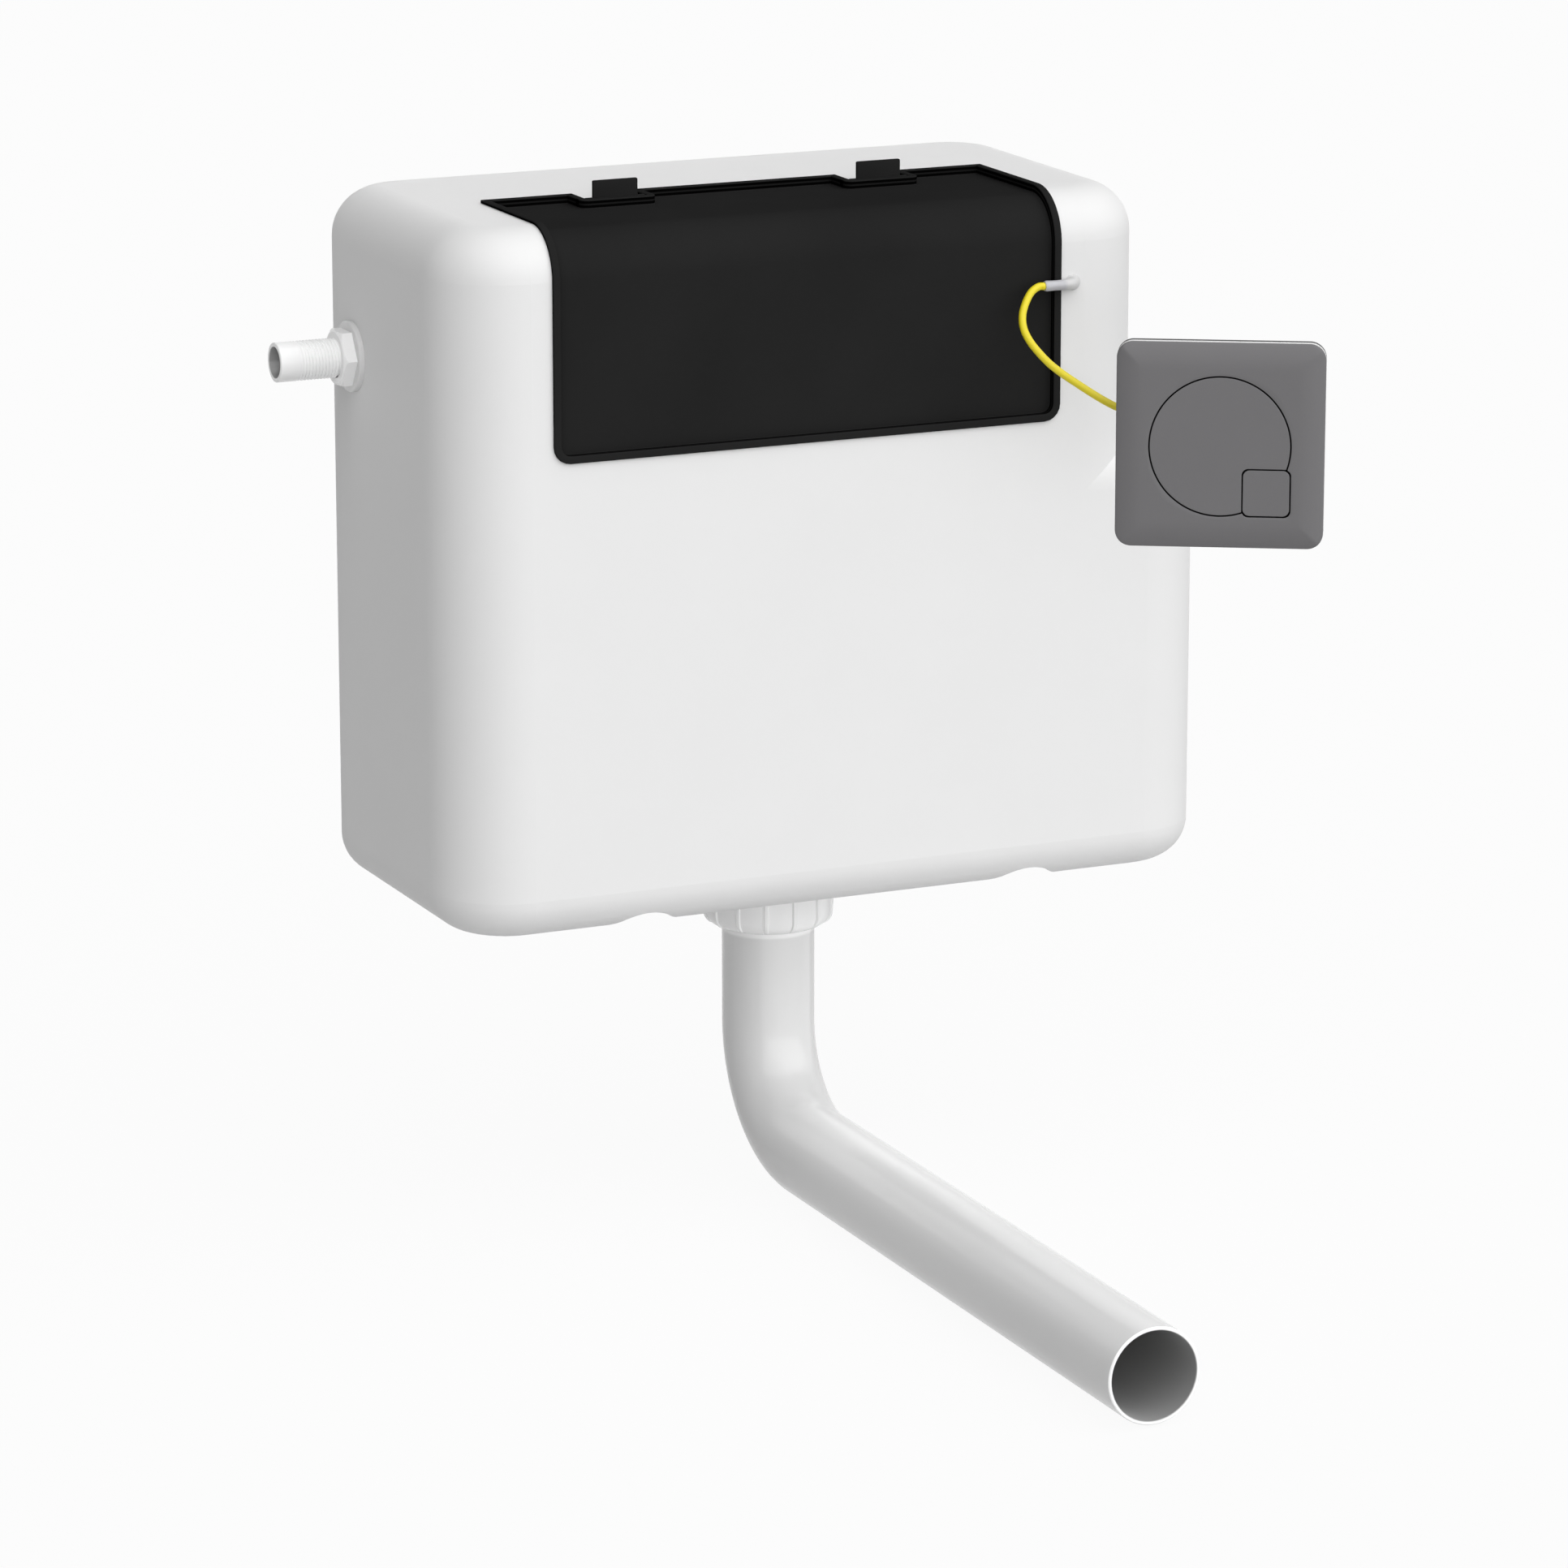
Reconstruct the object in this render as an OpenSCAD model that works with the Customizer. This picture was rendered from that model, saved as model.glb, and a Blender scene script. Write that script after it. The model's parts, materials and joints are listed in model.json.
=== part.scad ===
// Concealed toilet cistern: moulded tank with a lift-off access cover, side-entry fill valve,
// cable-worked dual-flush valve, remote push plate and flush bend. Millimetres, +Z up.
// Origin: midway between the two wall fixings, on the tank's back face. The front faces -Y.

/* [Tank] */
// Outside width of the tank
tank_w = 435; // [420:1:460]
// Outside depth of the tank, wall side to front
tank_d = 206; // [200:1:220]
// Outside height of the tank
tank_h = 370; // [340:1:400]
// Wall of the moulded tank
tank_wall = 4; // [3:0.5:5]
// Radius of the upright edges
edge_r = 42; // [36:1:43]
// Radius of the top edges
top_r = 26; // [20:1:30]
// Radius of the bottom edges
base_r = 22; // [18:1:28]
// Width of the step in the upper right side
step_w = 39; // [30:1:41]
// Height of the shoulder below the step
shoulder_h = 235; // [200:1:245]
// Radius of the shoulder's edge
shoulder_r = 24; // [15:1:30]
// Width of each channel across the underside
channel_w = 54; // [40:1:60]
// Depth of each channel
channel_d = 8; // [4:0.5:10]
// Distance between the two channels
channel_gap = 220; // [190:2:230]
// Distance of the wall fixings below the tank's top
fix_drop = 40; // [30:1:70]
// Distance between the wall fixings
fix_gap = 220; // [180:2:240]
// Radius of a wall fixing hole
fix_r = 3.5; // [2.5:0.25:5]
// Radius of the boss behind a wall fixing hole
fix_boss_r = 9; // [7:0.5:12]

/* [Access cover] */
// Width of the cover
cover_w = 286; // [260:1:290]
// Centre of the cover, sideways from the outlet
cover_x = -21; // [-26:1:-18]
// Distance from the wall to the cover's rear edge
cover_rear = 110; // [104:1:116]
// Height of the cover's front, below the tank's top
cover_front = 119.5; // [114:0.5:122]
// Radius of the cover's lower corners
cover_r = 9; // [8:0.5:14]
// Width of the cover's flat rim
rim_w = 4; // [3.5:0.25:5]
// Thickness of the rim
rim_t = 1.6; // [1.2:0.1:2]
// Depth of the panel below the rim's face
recess_d = 4.6; // [3.5:0.1:5.5]
// Thickness of the panel and of the tray's wall
panel_t = 1.6; // [1.2:0.1:2]
// Distance between the two latches
latch_gap = 150; // [130:1:170]
// Width of a latch's finger tab
tab_w = 25; // [20:1:28]
// Height of a finger tab above the tank
tab_h = 10.6; // [8:0.2:14]
// Thickness of a latch
latch_t = 2; // [1.6:0.1:2.4]
// Width of the rim's notch behind a latch
notch_w = 34; // [32:0.5:38]
// Length of the rim's notch
notch_l = 19.8; // [19:0.2:21]
// Radius of a latch's pivot pin
latch_pin_r = 1.1; // [0.9:0.05:1.3]

/* [Inlet and fill valve] */
// Distance of the inlet's axis from the wall
inlet_y = 62; // [62:1:80]
// Distance of the inlet's axis below the tank's top
inlet_drop = 84; // [78:1:90]
// Radius of the inlet's thread
inlet_r = 10.45; // [9:0.05:10.6]
// Radius of the inlet's bore
inlet_bore_r = 8; // [6:0.25:8]
// Length of the inlet outside the tank
inlet_l = 43; // [38:1:60]
// Length of the inlet's plain end
inlet_plain = 18; // [12:1:20]
// Pitch of the inlet's thread
inlet_pitch = 1.8; // [1.6:0.1:2.4]
// Radius of the inlet nut's washer
inlet_washer_r = 18.7; // [17:0.1:19.5]
// Thickness of the inlet nut's washer
inlet_washer_t = 3; // [2:0.5:4]
// Inlet nut, across its flats
inlet_nut_af = 28; // [25:0.5:30]
// Thickness of the inlet nut
inlet_nut_t = 7; // [5:0.5:9]
// Radius of the fill valve's body
fill_r = 13; // [12.5:0.25:14]
// Length of the float's arm
arm_l = 62; // [55:1:64]
// Drop of the float's arm at rest
arm_drop = 35; // [25:1:38]
// Radius of the float
float_r = 26; // [20:1:27]
// Height of the float
float_h = 56; // [40:1:60]

/* [Flush valve] */
// Distance of the outlet's axis from the wall
outlet_y = 106; // [103:1:107]
// Radius of the threaded tail
tail_r = 29.8; // [29:0.1:30]
// Bore of the threaded tail
tail_bore_r = 26.5; // [26:0.1:27]
// Length of the tail below the tank
tail_l = 27; // [25:0.5:30]
// Radius of the valve's base flange
base_flange_r = 42; // [40:0.5:46]
// Lift of the flush seal
valve_lift = 24; // [18:1:26]
// Radius of the lift tube
lift_r = 16; // [15:0.25:17]
// Distance of the overflow below the tank's top
overflow_drop = 134; // [130:1:150]
// Distance of the valve's tower below the tank's top
tower_drop = 199; // [190:1:210]
// Radius of the valve's tower
tower_r = 33; // [32:0.25:34]

/* [Flush pipe] */
// Outside radius of the flush pipe
pipe_r = 25; // [24.5:0.1:25.3]
// Wall of the flush pipe
pipe_wall = 2; // [1.5:0.1:3]
// Drop from the tank's base to the pipe's lower leg
pipe_drop = 146.5; // [140:0.5:200]
// Radius of the bend at the pipe's axis
bend_r = 60; // [50:1:70]
// Length of the lower leg from the upright leg's axis
leg_l = 455.5; // [300:0.5:500]
// Radius of the coupling nut
nut_r = 34.8; // [33:0.2:36]
// Number of ribs round the coupling nut
nut_ribs = 14; // [8:1:20]
// Height of a rib on the coupling nut
rib_h = 1; // [0.5:0.1:1.5]

/* [Cable] */
// Radius of the cable's sheath
cable_r = 2; // [1.6:0.1:2.2]
// Radius of the cable elbow
elbow_r = 3; // [2.6:0.1:3.4]
// Distance from the cover's edge to the elbow's axis
elbow_gap = 7; // [7:0.5:9]
// Distance of the cable elbow below the tank's top
elbow_drop = 47; // [40:1:55]

/* [Push plate] */
// Side of the push plate
plate_w = 107; // [100:1:112]
// Corner radius of the push plate
plate_r = 8.5; // [6:0.5:12]
// Thickness of the face at its middle
face_t = 8; // [7.5:0.25:9]
// Width of the face's rounded border
pillow_w = 14; // [8:0.5:15]
// Fall of the face at its edge
pillow_d = 3; // [2:0.25:3.5]
// Radius of the full-flush button
full_r = 36; // [34:0.25:37]
// Side of the half-flush button
half_w = 24; // [20:0.5:26]
// Corner radius of the half-flush button
half_r = 3.5; // [2:0.25:5]
// Gap round a button
button_gap = 0.6; // [0.3:0.05:0.8]
// Thickness of a button
button_t = 4; // [3:0.25:4]
// Travel of a button
button_travel = 6; // [4:0.5:6]
// Side of the box behind the plate
box_w = 84; // [82:1:86]
// Centre of the plate, sideways from the outlet
plate_x = 162; // [150:1:175]
// Distance from the tank's front to the middle of the plate's face
plate_out = 104; // [100:1:140]
// Distance of the plate's centre below the tank's top
plate_drop = 118; // [100:1:130]
// Turn of the plate about the upright axis
plate_yaw = -30; // [-40:1:-20]

/* [Hidden] */
$fn = 96;
// clearances
fit = 0.05;
seat_gap = 0.2;
slack = 0.4;
edge_gap = 1;
over = 1;
// heights above the tank's base
fix_z = tank_h - fix_drop;
cover_low = tank_h - cover_front;
inlet_z = tank_h - inlet_drop;
overflow_z = tank_h - overflow_drop;
tower_z = tank_h - tower_drop;
elbow_z = tank_h - elbow_drop;
// tank: the upright edges leave the elbow's flange on the flat front
left_x = -tank_w / 2;
upper_right_x = tank_w / 2 - step_w;
cover_right_x = cover_x + cover_w / 2;
elbow_x = cover_right_x + elbow_gap;
elbow_lip_r = elbow_r + 1.2;
corner_r = min(edge_r, upper_right_x - elbow_x - elbow_lip_r - edge_gap);
// cover: heights are offsets from the tank's skin
rim_hi = seat_gap + rim_t;
panel_hi = rim_hi - recess_d;
panel_lo = panel_hi - panel_t;
tray_in = rim_w - panel_t;
latch_xs = [cover_x - latch_gap / 2, cover_x + latch_gap / 2];
barrel_wall = 1.1;
barrel_r = latch_pin_r + barrel_wall;
barrel_gap = 0.6;
latch_y = -(cover_rear + notch_l) + barrel_r + barrel_gap;
latch_z = tank_h + rim_hi - barrel_r;
barrel_w = notch_w - 2 * slack;
tongue_y = latch_y + barrel_r + slack;
hook_l = 9;
hook_w = tab_w - 4;
barb = 0.8;
barb_h = 3;
// inlet and fill valve
seal_t = 2;
inner_x = left_x + tank_wall;
thread_h = 0.7;
inlet_flange_t = 4.5;
inlet_flange_r = inlet_r + 6.5;
body_l = 48.5;
body_end_x = inner_x + body_l;
cap_l = 15;
cap_grip = 10;
cap_r = fill_r + 3;
arm_w = 8;
arm_t = 5;
pivot_x = body_end_x + cap_l + arm_t + 1;
pivot_drop = 10;
pivot_z = inlet_z - pivot_drop;
pivot_r = 1.5;
ear_gap = 12;
lug_t = 3;
lug_w = 6;
spigot_in = 24;
spigot_x = inner_x + spigot_in;
spigot_r = 7;
spigot_l = 10;
fill_tube_r = spigot_r + 2;
fill_tube_end = 60;
float_drop = 30;
float_edge = 5;
fork_t = 3;
// flush valve
base_seal_t = 3;
flange_z = tank_wall + base_seal_t;
flange_t = 5;
foot_z = flange_z + flange_t;
seat_h = 3;
seat_t = 3.5;
seat_z = foot_z + seat_h;
seal_h = 4;
disc_t = 3;
lip_t = 1.5;
cage_r = base_flange_r - 1;
cage_ring_h = 5;
cage_posts = 6;
cage_post_t = 5;
cage_post_w = 8;
post_in = 0.5;
cage_room = 16;
cage_z = seat_z + seal_h + disc_t + valve_lift + cage_room;
tower_wall = 2.5;
guide_t = 3;
lift_wall = 2;
bar_h = 6;
bar_w = 5;
bridge_t = 6;
bridge_w = 14;
bridge_x = tower_r - tower_wall - bridge_t;
bridge_room = 32;
bridge_z = overflow_z + valve_lift + bridge_room;
anchor_r = 4;
anchor_collar = 4;
anchor_rise = 26;
anchor_top = bridge_z + anchor_rise;
wire_r = 0.6;
nipple_r = 2.2;
nipple_h = 4;
base_nut_r = tail_r + 7.2;
base_nut_h = 9;
nut_top = -base_nut_h - 1.5;
cone_t = 3;
nut_lip = 3;
nut_low = -tail_l - cone_t - nut_lip;
nut_foot_r = 9;
rib_t = 1.8;
pipe_grip = 14;
bend_top = bend_r - pipe_drop;
// push plate: depths are measured from its face
plate_c = [plate_x, -tank_d - plate_out, tank_h - plate_drop];
half_c = full_r - half_w / 2;
pocket_wall = 4.4;
pocket_edge = 4;
frame_t = 3.4;
frame_y = face_t + frame_t;
web_y = button_t + button_travel + 5;
web_t = 2;
box_y = web_y + web_t;
box_wall = 2.5;
box_r = 6;
stem_r = 5;
half_stem_r = 3.5;
guide_wall = 2.5;
guide_l = 5;
half_guide_l = 2;
stem_end = box_y + guide_l + 4;
half_stem_end = stem_end - button_travel;
lever_t = 3;
lever_w = 20;
axle_in = 9;
lever_in = 8;
lever_z = box_w / 2 - axle_in;
lever_low = box_w / 2 - lever_in;
lever_gap = 0.3;
lever_y = stem_end + lever_gap + lever_t / 2;
axle_r = 1.5;
lever_sweep = button_travel * (lever_z + lever_low) / (lever_z - stem_r);
box_d = lever_y + lever_t / 2 + lever_sweep + box_wall + 2;
ferrule_r = 4;
ferrule_l = 8;
ferrule_stub_r = 3;
ferrule_lead = 4;
ferrule_y = 33;
ferrule_z = 13;
spring_wire_r = 0.5;
spring_turns = 5;
spring_gap = 1.1;
screw_r = 1.75;
screw_head_r = 3.2;
screw_head_h = 2.2;
screw_gap = 0.3;
screw_x = box_w / 2 + screw_head_r + screw_gap;
plate_side = max(plate_w, box_w + 2 * (pocket_edge + 2 * screw_head_r + 2 * screw_gap));
// cable elbow and cable routes
elbow_off = rim_hi + elbow_r + slack;
elbow_reach = 11.8;
elbow_end = [cover_right_x - elbow_reach, -tank_d - elbow_off, elbow_z];
elbow_stub = 10;
// inside run, measured from the cable anchor's head
inner_run = [[0, 0, 8], [3, -1, 17], [11, -4, 25], [22, -8, 30], [34, -13, 32.5], [47, -19, 33],
             [60, -26, 32], [73, -34, 30], [85, -42, 27], [97, -51, 23], [107, -60, 18], [116, -69, 13.5],
             [123, -76, 9.5]];
// outside run, measured from the elbow's end
outer_run = [[-3.4, 0, 0], [-8.2, -1.2, -2.4], [-12.6, -3.6, -7.4], [-15.8, -6.6, -13], [-16.7, -9.8, -19.2],
             [-14.9, -13, -25.2], [-11.4, -16.5, -31], [-6.8, -20.5, -36.8], [-1.2, -24.5, -41.9],
             [4.8, -29, -46.6], [10.8, -34, -51.2], [16.2, -38.8, -55]];
yaw_x = [cos(plate_yaw), sin(plate_yaw), 0];
yaw_y = [-sin(plate_yaw), cos(plate_yaw), 0];
ferrule_end = plate_c - yaw_x * (box_w / 2 + ferrule_l) + yaw_y * ferrule_y + [0, 0, ferrule_z];
anchor_head = [0, -outlet_y, anchor_top];
stub_end = [elbow_x, -tank_d + elbow_stub, elbow_z];
inner_route = concat([anchor_head], [for (p = inner_run) anchor_head + p],
                     [stub_end + [0, 8, 0], stub_end]);
outer_route = concat([elbow_end], [for (p = outer_run) elbow_end + p],
                     [ferrule_end - yaw_x * ferrule_lead, ferrule_end]);
white = [0.93, 0.93, 0.93];
black = [0.14, 0.14, 0.14];
grey = [0.44, 0.44, 0.45];
dark_grey = [0.3, 0.3, 0.31];
clear_grey = [0.8, 0.8, 0.82];
blue = [0.35, 0.5, 0.62];
rubber = [0.2, 0.2, 0.21];
steel = [0.72, 0.72, 0.74];
yellow = [0.91, 0.84, 0.15];

// Frames

module placed() {
  translate([0, 0, -fix_z]) children();
}

module at_outlet() {
  placed() translate([0, -outlet_y, 0]) children();
}

module at_plate() {
  placed() translate(plate_c) rotate([0, 0, plate_yaw]) children();
}

// Outline (y, z) drawn out along X
module along_x(x0, x1) {
  translate([x0, 0, 0]) rotate([90, 0, 90]) linear_extrude(x1 - x0) children();
}

// Outline (x, z) drawn out along Y
module along_y(y0, y1) {
  translate([0, y1, 0]) rotate([90, 0, 0]) linear_extrude(y1 - y0) children();
}

module rod_x(x0, x1, r) {
  translate([x0, 0, 0]) rotate([0, 90, 0]) cylinder(h = x1 - x0, r = r);
}

module rod_y(y0, y1, r) {
  translate([0, y1, 0]) rotate([90, 0, 0]) cylinder(h = y1 - y0, r = r);
}

module ring(r_out, r_in, z0, z1) {
  translate([0, 0, z0]) difference() {
    cylinder(h = z1 - z0, r = r_out);
    translate([0, 0, -over]) cylinder(h = z1 - z0 + 2 * over, r = r_in);
  }
}

// Outlines

module corner_cut(r) {
  difference() {
    translate([-over, -over]) square(r + over);
    translate([r, r]) circle(r);
  }
}

// Rectangle with its own radius at each corner, from the lower left one round to the upper left one
module soft_rect(x0, y0, x1, y1, r) {
  difference() {
    translate([x0, y0]) square([x1 - x0, y1 - y0]);
    if (r[0] > 0) translate([x0, y0]) corner_cut(r[0]);
    if (r[1] > 0) translate([x1, y0]) mirror([1, 0]) corner_cut(r[1]);
    if (r[2] > 0) translate([x1, y1]) mirror([1, 0]) mirror([0, 1]) corner_cut(r[2]);
    if (r[3] > 0) translate([x0, y1]) mirror([0, 1]) corner_cut(r[3]);
  }
}

module soft_square(w, r) {
  soft_rect(-w / 2, -w / 2, w / 2, w / 2, [r, r, r, r]);
}

// Swept tube: rings of `sides` points about a route, square to it
function unit(v) = v / norm(v);
function heading(p, i) = unit(p[min(i + 1, len(p) - 1)] - p[max(i - 1, 0)]);
function across(d) = unit(cross(d, abs(d[2]) > 0.9 ? [1, 0, 0] : [0, 0, 1]));
function tube_ring(c, d, a, r, sides) =
  [for (k = [0 : sides - 1]) c + r * (cos(360 * k / sides) * a + sin(360 * k / sides) * cross(a, d))];
function carried(p, i, a) = let (d = heading(p, i)) unit(a - (a * d) * d);
function carry(p, i) = i == 0 ? across(heading(p, 0)) : carried(p, i, carry(p, i - 1));

module tube_along(p, r, sides) {
  n = len(p);
  points = [for (i = [0 : n - 1]) each tube_ring(p[i], heading(p, i), carry(p, i), r, sides)];
  walls = [for (i = [0 : n - 2], k = [0 : sides - 1])
    let (a = i * sides + k, b = i * sides + (k + 1) % sides)
      each [[a, a + sides, b + sides], [a, b + sides, b]]];
  first = [for (k = [1 : sides - 2]) [0, k, k + 1]];
  last = [for (k = [1 : sides - 2]) [(n - 1) * sides, (n - 1) * sides + k + 1, (n - 1) * sides + k]];
  polyhedron(points, concat(walls, first, last), convexity = 6);
}

// Tank

// One tier of the tank: upright edges rv, foot radius rb, head radius rt
module tier(x0, x1, y0, y1, z0, z1, rv, rb, rt) {
  along_x(x0 + rv, x1 - rv) soft_rect(y0, z0, y1, z1, [rb, rb, rt, rt]);
  along_y(y0 + rv, y1 - rv) soft_rect(x0, z0, x1, z1, [rb, rb, rt, rt]);
  posts = [[x0 + rv, y0 + rv, 180], [x1 - rv, y0 + rv, 270], [x1 - rv, y1 - rv, 0], [x0 + rv, y1 - rv, 90]];
  for (p = posts)
    translate([p[0], p[1], 0]) rotate([0, 0, p[2]])
      rotate_extrude(angle = 90) soft_rect(0, z0, rv, z1, [0, rb, rt, 0]);
}

// The tank's skin, set in by `inset`: a wide lower tier, with the upper tier standing in its shoulder
module tank_form(inset) {
  sink = 2 * shoulder_r;
  tier(left_x + inset, tank_w / 2 - inset, -tank_d + inset, -inset, inset, shoulder_h - inset,
       corner_r - inset, base_r - inset, shoulder_r - inset);
  tier(left_x + inset, upper_right_x - inset, -tank_d + inset, -inset, shoulder_h - sink, tank_h - inset,
       corner_r - inset, 0, top_r - inset);
}

// Rounded channels across the underside, `grow` larger all round
module channels(grow) {
  half = channel_w / 2 + grow;
  rise = channel_d + grow;
  r = (half * half / 4 + rise * rise / 4) / rise;
  for (x = [-channel_gap / 2, channel_gap / 2])
    translate([x, 0, 0]) along_y(-tank_d - over, over) {
      difference() {
        translate([-half, -over]) square([2 * half, rise / 2 + over]);
        for (s = [-1, 1]) translate([s * half, r - seat_gap]) circle(r);
      }
      intersection() {
        translate([0, rise - r]) circle(r);
        translate([-half / 2, 0]) square([half, rise + over]);
      }
    }
}

// The hatch in the tank, with the two tongues that the rim's notches show
module hatch() {
  inset = tray_in - edge_gap;
  x0 = cover_x - cover_w / 2 + inset;
  x1 = cover_right_x - inset;
  z0 = cover_low + inset;
  r = cover_r - inset;
  y1 = -cover_rear - inset;
  tongue_w = notch_w + 2 * inset;
  difference() {
    along_y(-tank_d - over, y1) soft_rect(x0, z0, x1, tank_h + over, [r, r, 0, 0]);
    for (x = latch_xs)
      translate([x - tongue_w / 2, tongue_y, tank_h - tank_wall])
        cube([tongue_w, -tongue_y, tank_wall + over]);
  }
}

module tank() {
  color(white) placed() difference() {
    union() {
      difference() {
        tank_form(0);
        channels(0);
        difference() {
          tank_form(tank_wall);
          channels(tank_wall);
        }
      }
      for (x = [-fix_gap / 2, fix_gap / 2])
        translate([x, 0, fix_z]) rod_y(-2 * tank_wall, -tank_wall / 2, fix_boss_r);
    }
    hatch();
    for (x = [-fix_gap / 2, fix_gap / 2])
      translate([x, 0, fix_z]) rod_y(-2 * tank_wall - over, over, fix_r);
    translate([0, -inlet_y, inlet_z]) rod_x(left_x - over, inner_x + over, inlet_r + slack);
    translate([0, -outlet_y, -over]) cylinder(h = tank_wall + 2 * over, r = tail_r + slack);
    translate([elbow_x, 0, elbow_z]) rod_y(-tank_d - over, -tank_d + tank_wall + over, elbow_r + fit);
  }
}

// Access cover

// Strip (y, z) over the tank's rounded top front edge, between two offsets from its skin
module skin_strip(lo, hi, rear, low) {
  difference() {
    soft_rect(-tank_d - hi, low, rear, tank_h + hi, [0, 0, 0, top_r + hi]);
    soft_rect(-tank_d - lo, low - over, rear + over, tank_h + lo, [0, 0, 0, top_r + lo]);
  }
}

// Cover-shaped leaf, set in from the cover's outline by `inset`
module leaf(inset, lo, hi) {
  half = cover_w / 2 - inset;
  low = cover_low + inset;
  r = max(cover_r - inset, over);
  rear = -cover_rear - inset;
  cut_z = tank_h + panel_lo - 4;
  difference() {
    intersection() {
      along_x(cover_x - half, cover_x + half) skin_strip(lo, hi, rear, low);
      along_y(-tank_d - hi - over, rear)
        soft_rect(cover_x - half, low, cover_x + half, tank_h + hi + over, [r, r, 0, 0]);
    }
    for (x = latch_xs)
      translate([x - notch_w / 2 - inset, rear - notch_l, cut_z])
        cube([notch_w + 2 * inset, notch_l + over, tank_h + hi + over - cut_z]);
  }
}

module latch_ears() {
  crown = barrel_r - seat_gap;
  for (x = latch_xs, s = [-1, 1])
    translate([x + s * (notch_w + rim_w) / 2, latch_y, latch_z]) along_x(-rim_w / 2, rim_w / 2)
      soft_rect(-barrel_r, -barrel_r, barrel_r, barrel_r, [crown, crown, 0, 0]);
}

module access_cover() {
  color(black) placed() difference() {
    union() {
      leaf(0, seat_gap, rim_hi);
      leaf(tray_in, panel_lo, rim_hi);
      latch_ears();
    }
    leaf(rim_w, panel_hi, rim_hi + over);
    for (x = latch_xs)
      translate([x, latch_y, latch_z])
        rod_x(-notch_w / 2 - rim_w - over, notch_w / 2 + rim_w + over, latch_pin_r + fit / 2);
  }
}

// Rocker on the latch pin: a finger tab above, a hook with a barb below
module latch(x) {
  foot = tank_h - hook_l - latch_z;
  color(black) placed() translate([x, latch_y, latch_z]) difference() {
    union() {
      rod_x(-barrel_w / 2, barrel_w / 2, barrel_r);
      translate([-tab_w / 2, -latch_t / 2, 0]) cube([tab_w, latch_t, tank_h + tab_h - latch_z]);
      translate([-hook_w / 2, -latch_t / 2, foot]) cube([hook_w, latch_t, -foot]);
      along_x(-hook_w / 2, hook_w / 2)
        polygon([[0, foot], [latch_t / 2, foot], [latch_t / 2 + barb, foot + barb_h - barb],
                 [latch_t / 2, foot + barb_h], [0, foot + barb_h]]);
    }
    rod_x(-barrel_w, barrel_w, latch_pin_r + fit);
  }
}

module left_latch() {
  latch(latch_xs[0]);
}

module right_latch() {
  latch(latch_xs[1]);
}

module latch_pins() {
  color(steel) placed() for (x = latch_xs)
    translate([x, latch_y, latch_z]) rod_x(-notch_w / 2 - rim_w, notch_w / 2 + rim_w, latch_pin_r);
}

// Inlet and fill valve

module at_inlet() {
  placed() translate([0, -inlet_y, inlet_z]) children();
}

// Outline of the threaded tail: a plain end, then ridges up to the tank
module tail_outline() {
  turns = floor((inlet_l - inlet_plain) / inlet_pitch);
  root = inlet_r - thread_h;
  square([inlet_r, inlet_plain]);
  translate([0, inlet_plain - over]) square([root, inlet_l - inlet_plain + 2 * over]);
  for (i = [0 : turns - 1])
    translate([0, inlet_plain + i * inlet_pitch])
      polygon([[root - over, 0.2 * inlet_pitch], [root, 0.2 * inlet_pitch], [inlet_r, 0.5 * inlet_pitch],
               [inlet_r, 0.7 * inlet_pitch], [root, inlet_pitch], [root - over, inlet_pitch]]);
}

module fill_valve() {
  outer_x = left_x - inlet_l;
  flange_x = inner_x + seal_t;
  spigot_low = -fill_r - spigot_l;
  color(white) at_inlet() difference() {
    union() {
      translate([outer_x, 0, 0]) rotate([0, 90, 0]) rotate_extrude() tail_outline();
      rod_x(left_x - over, flange_x + over, inlet_r - thread_h);
      rod_x(flange_x, flange_x + inlet_flange_t, inlet_flange_r);
      rod_x(flange_x + inlet_flange_t - over, body_end_x, fill_r);
      translate([spigot_x, 0, spigot_low]) cylinder(h = -spigot_low, r = spigot_r);
    }
    rod_x(outer_x - over, spigot_x + spigot_r, inlet_bore_r);
    translate([spigot_x, 0, spigot_low - over]) cylinder(h = -spigot_low, r = spigot_r - 2);
  }
}

module inlet_seal() {
  color(rubber) at_inlet() difference() {
    rod_x(inner_x, inner_x + seal_t, inlet_flange_r - 1);
    rod_x(inner_x - over, inner_x + seal_t + over, inlet_r + fit);
  }
}

// Hexagon nut with a round washer face
module inlet_nut() {
  face_x = left_x - inlet_washer_t;
  bevel = 1;
  color(white) at_inlet() difference() {
    union() {
      rod_x(face_x + bevel, left_x, inlet_washer_r);
      translate([face_x, 0, 0]) rotate([0, 90, 0])
        cylinder(h = bevel, r1 = inlet_washer_r - 1.5 * bevel, r2 = inlet_washer_r);
      translate([face_x - inlet_nut_t, 0, 0]) rotate([0, 90, 0]) rotate([0, 0, 30])
        cylinder(h = inlet_nut_t + bevel / 2, d = inlet_nut_af / cos(30), $fn = 6);
    }
    rod_x(face_x - inlet_nut_t - over, left_x + over, inlet_r + fit);
  }
}

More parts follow.
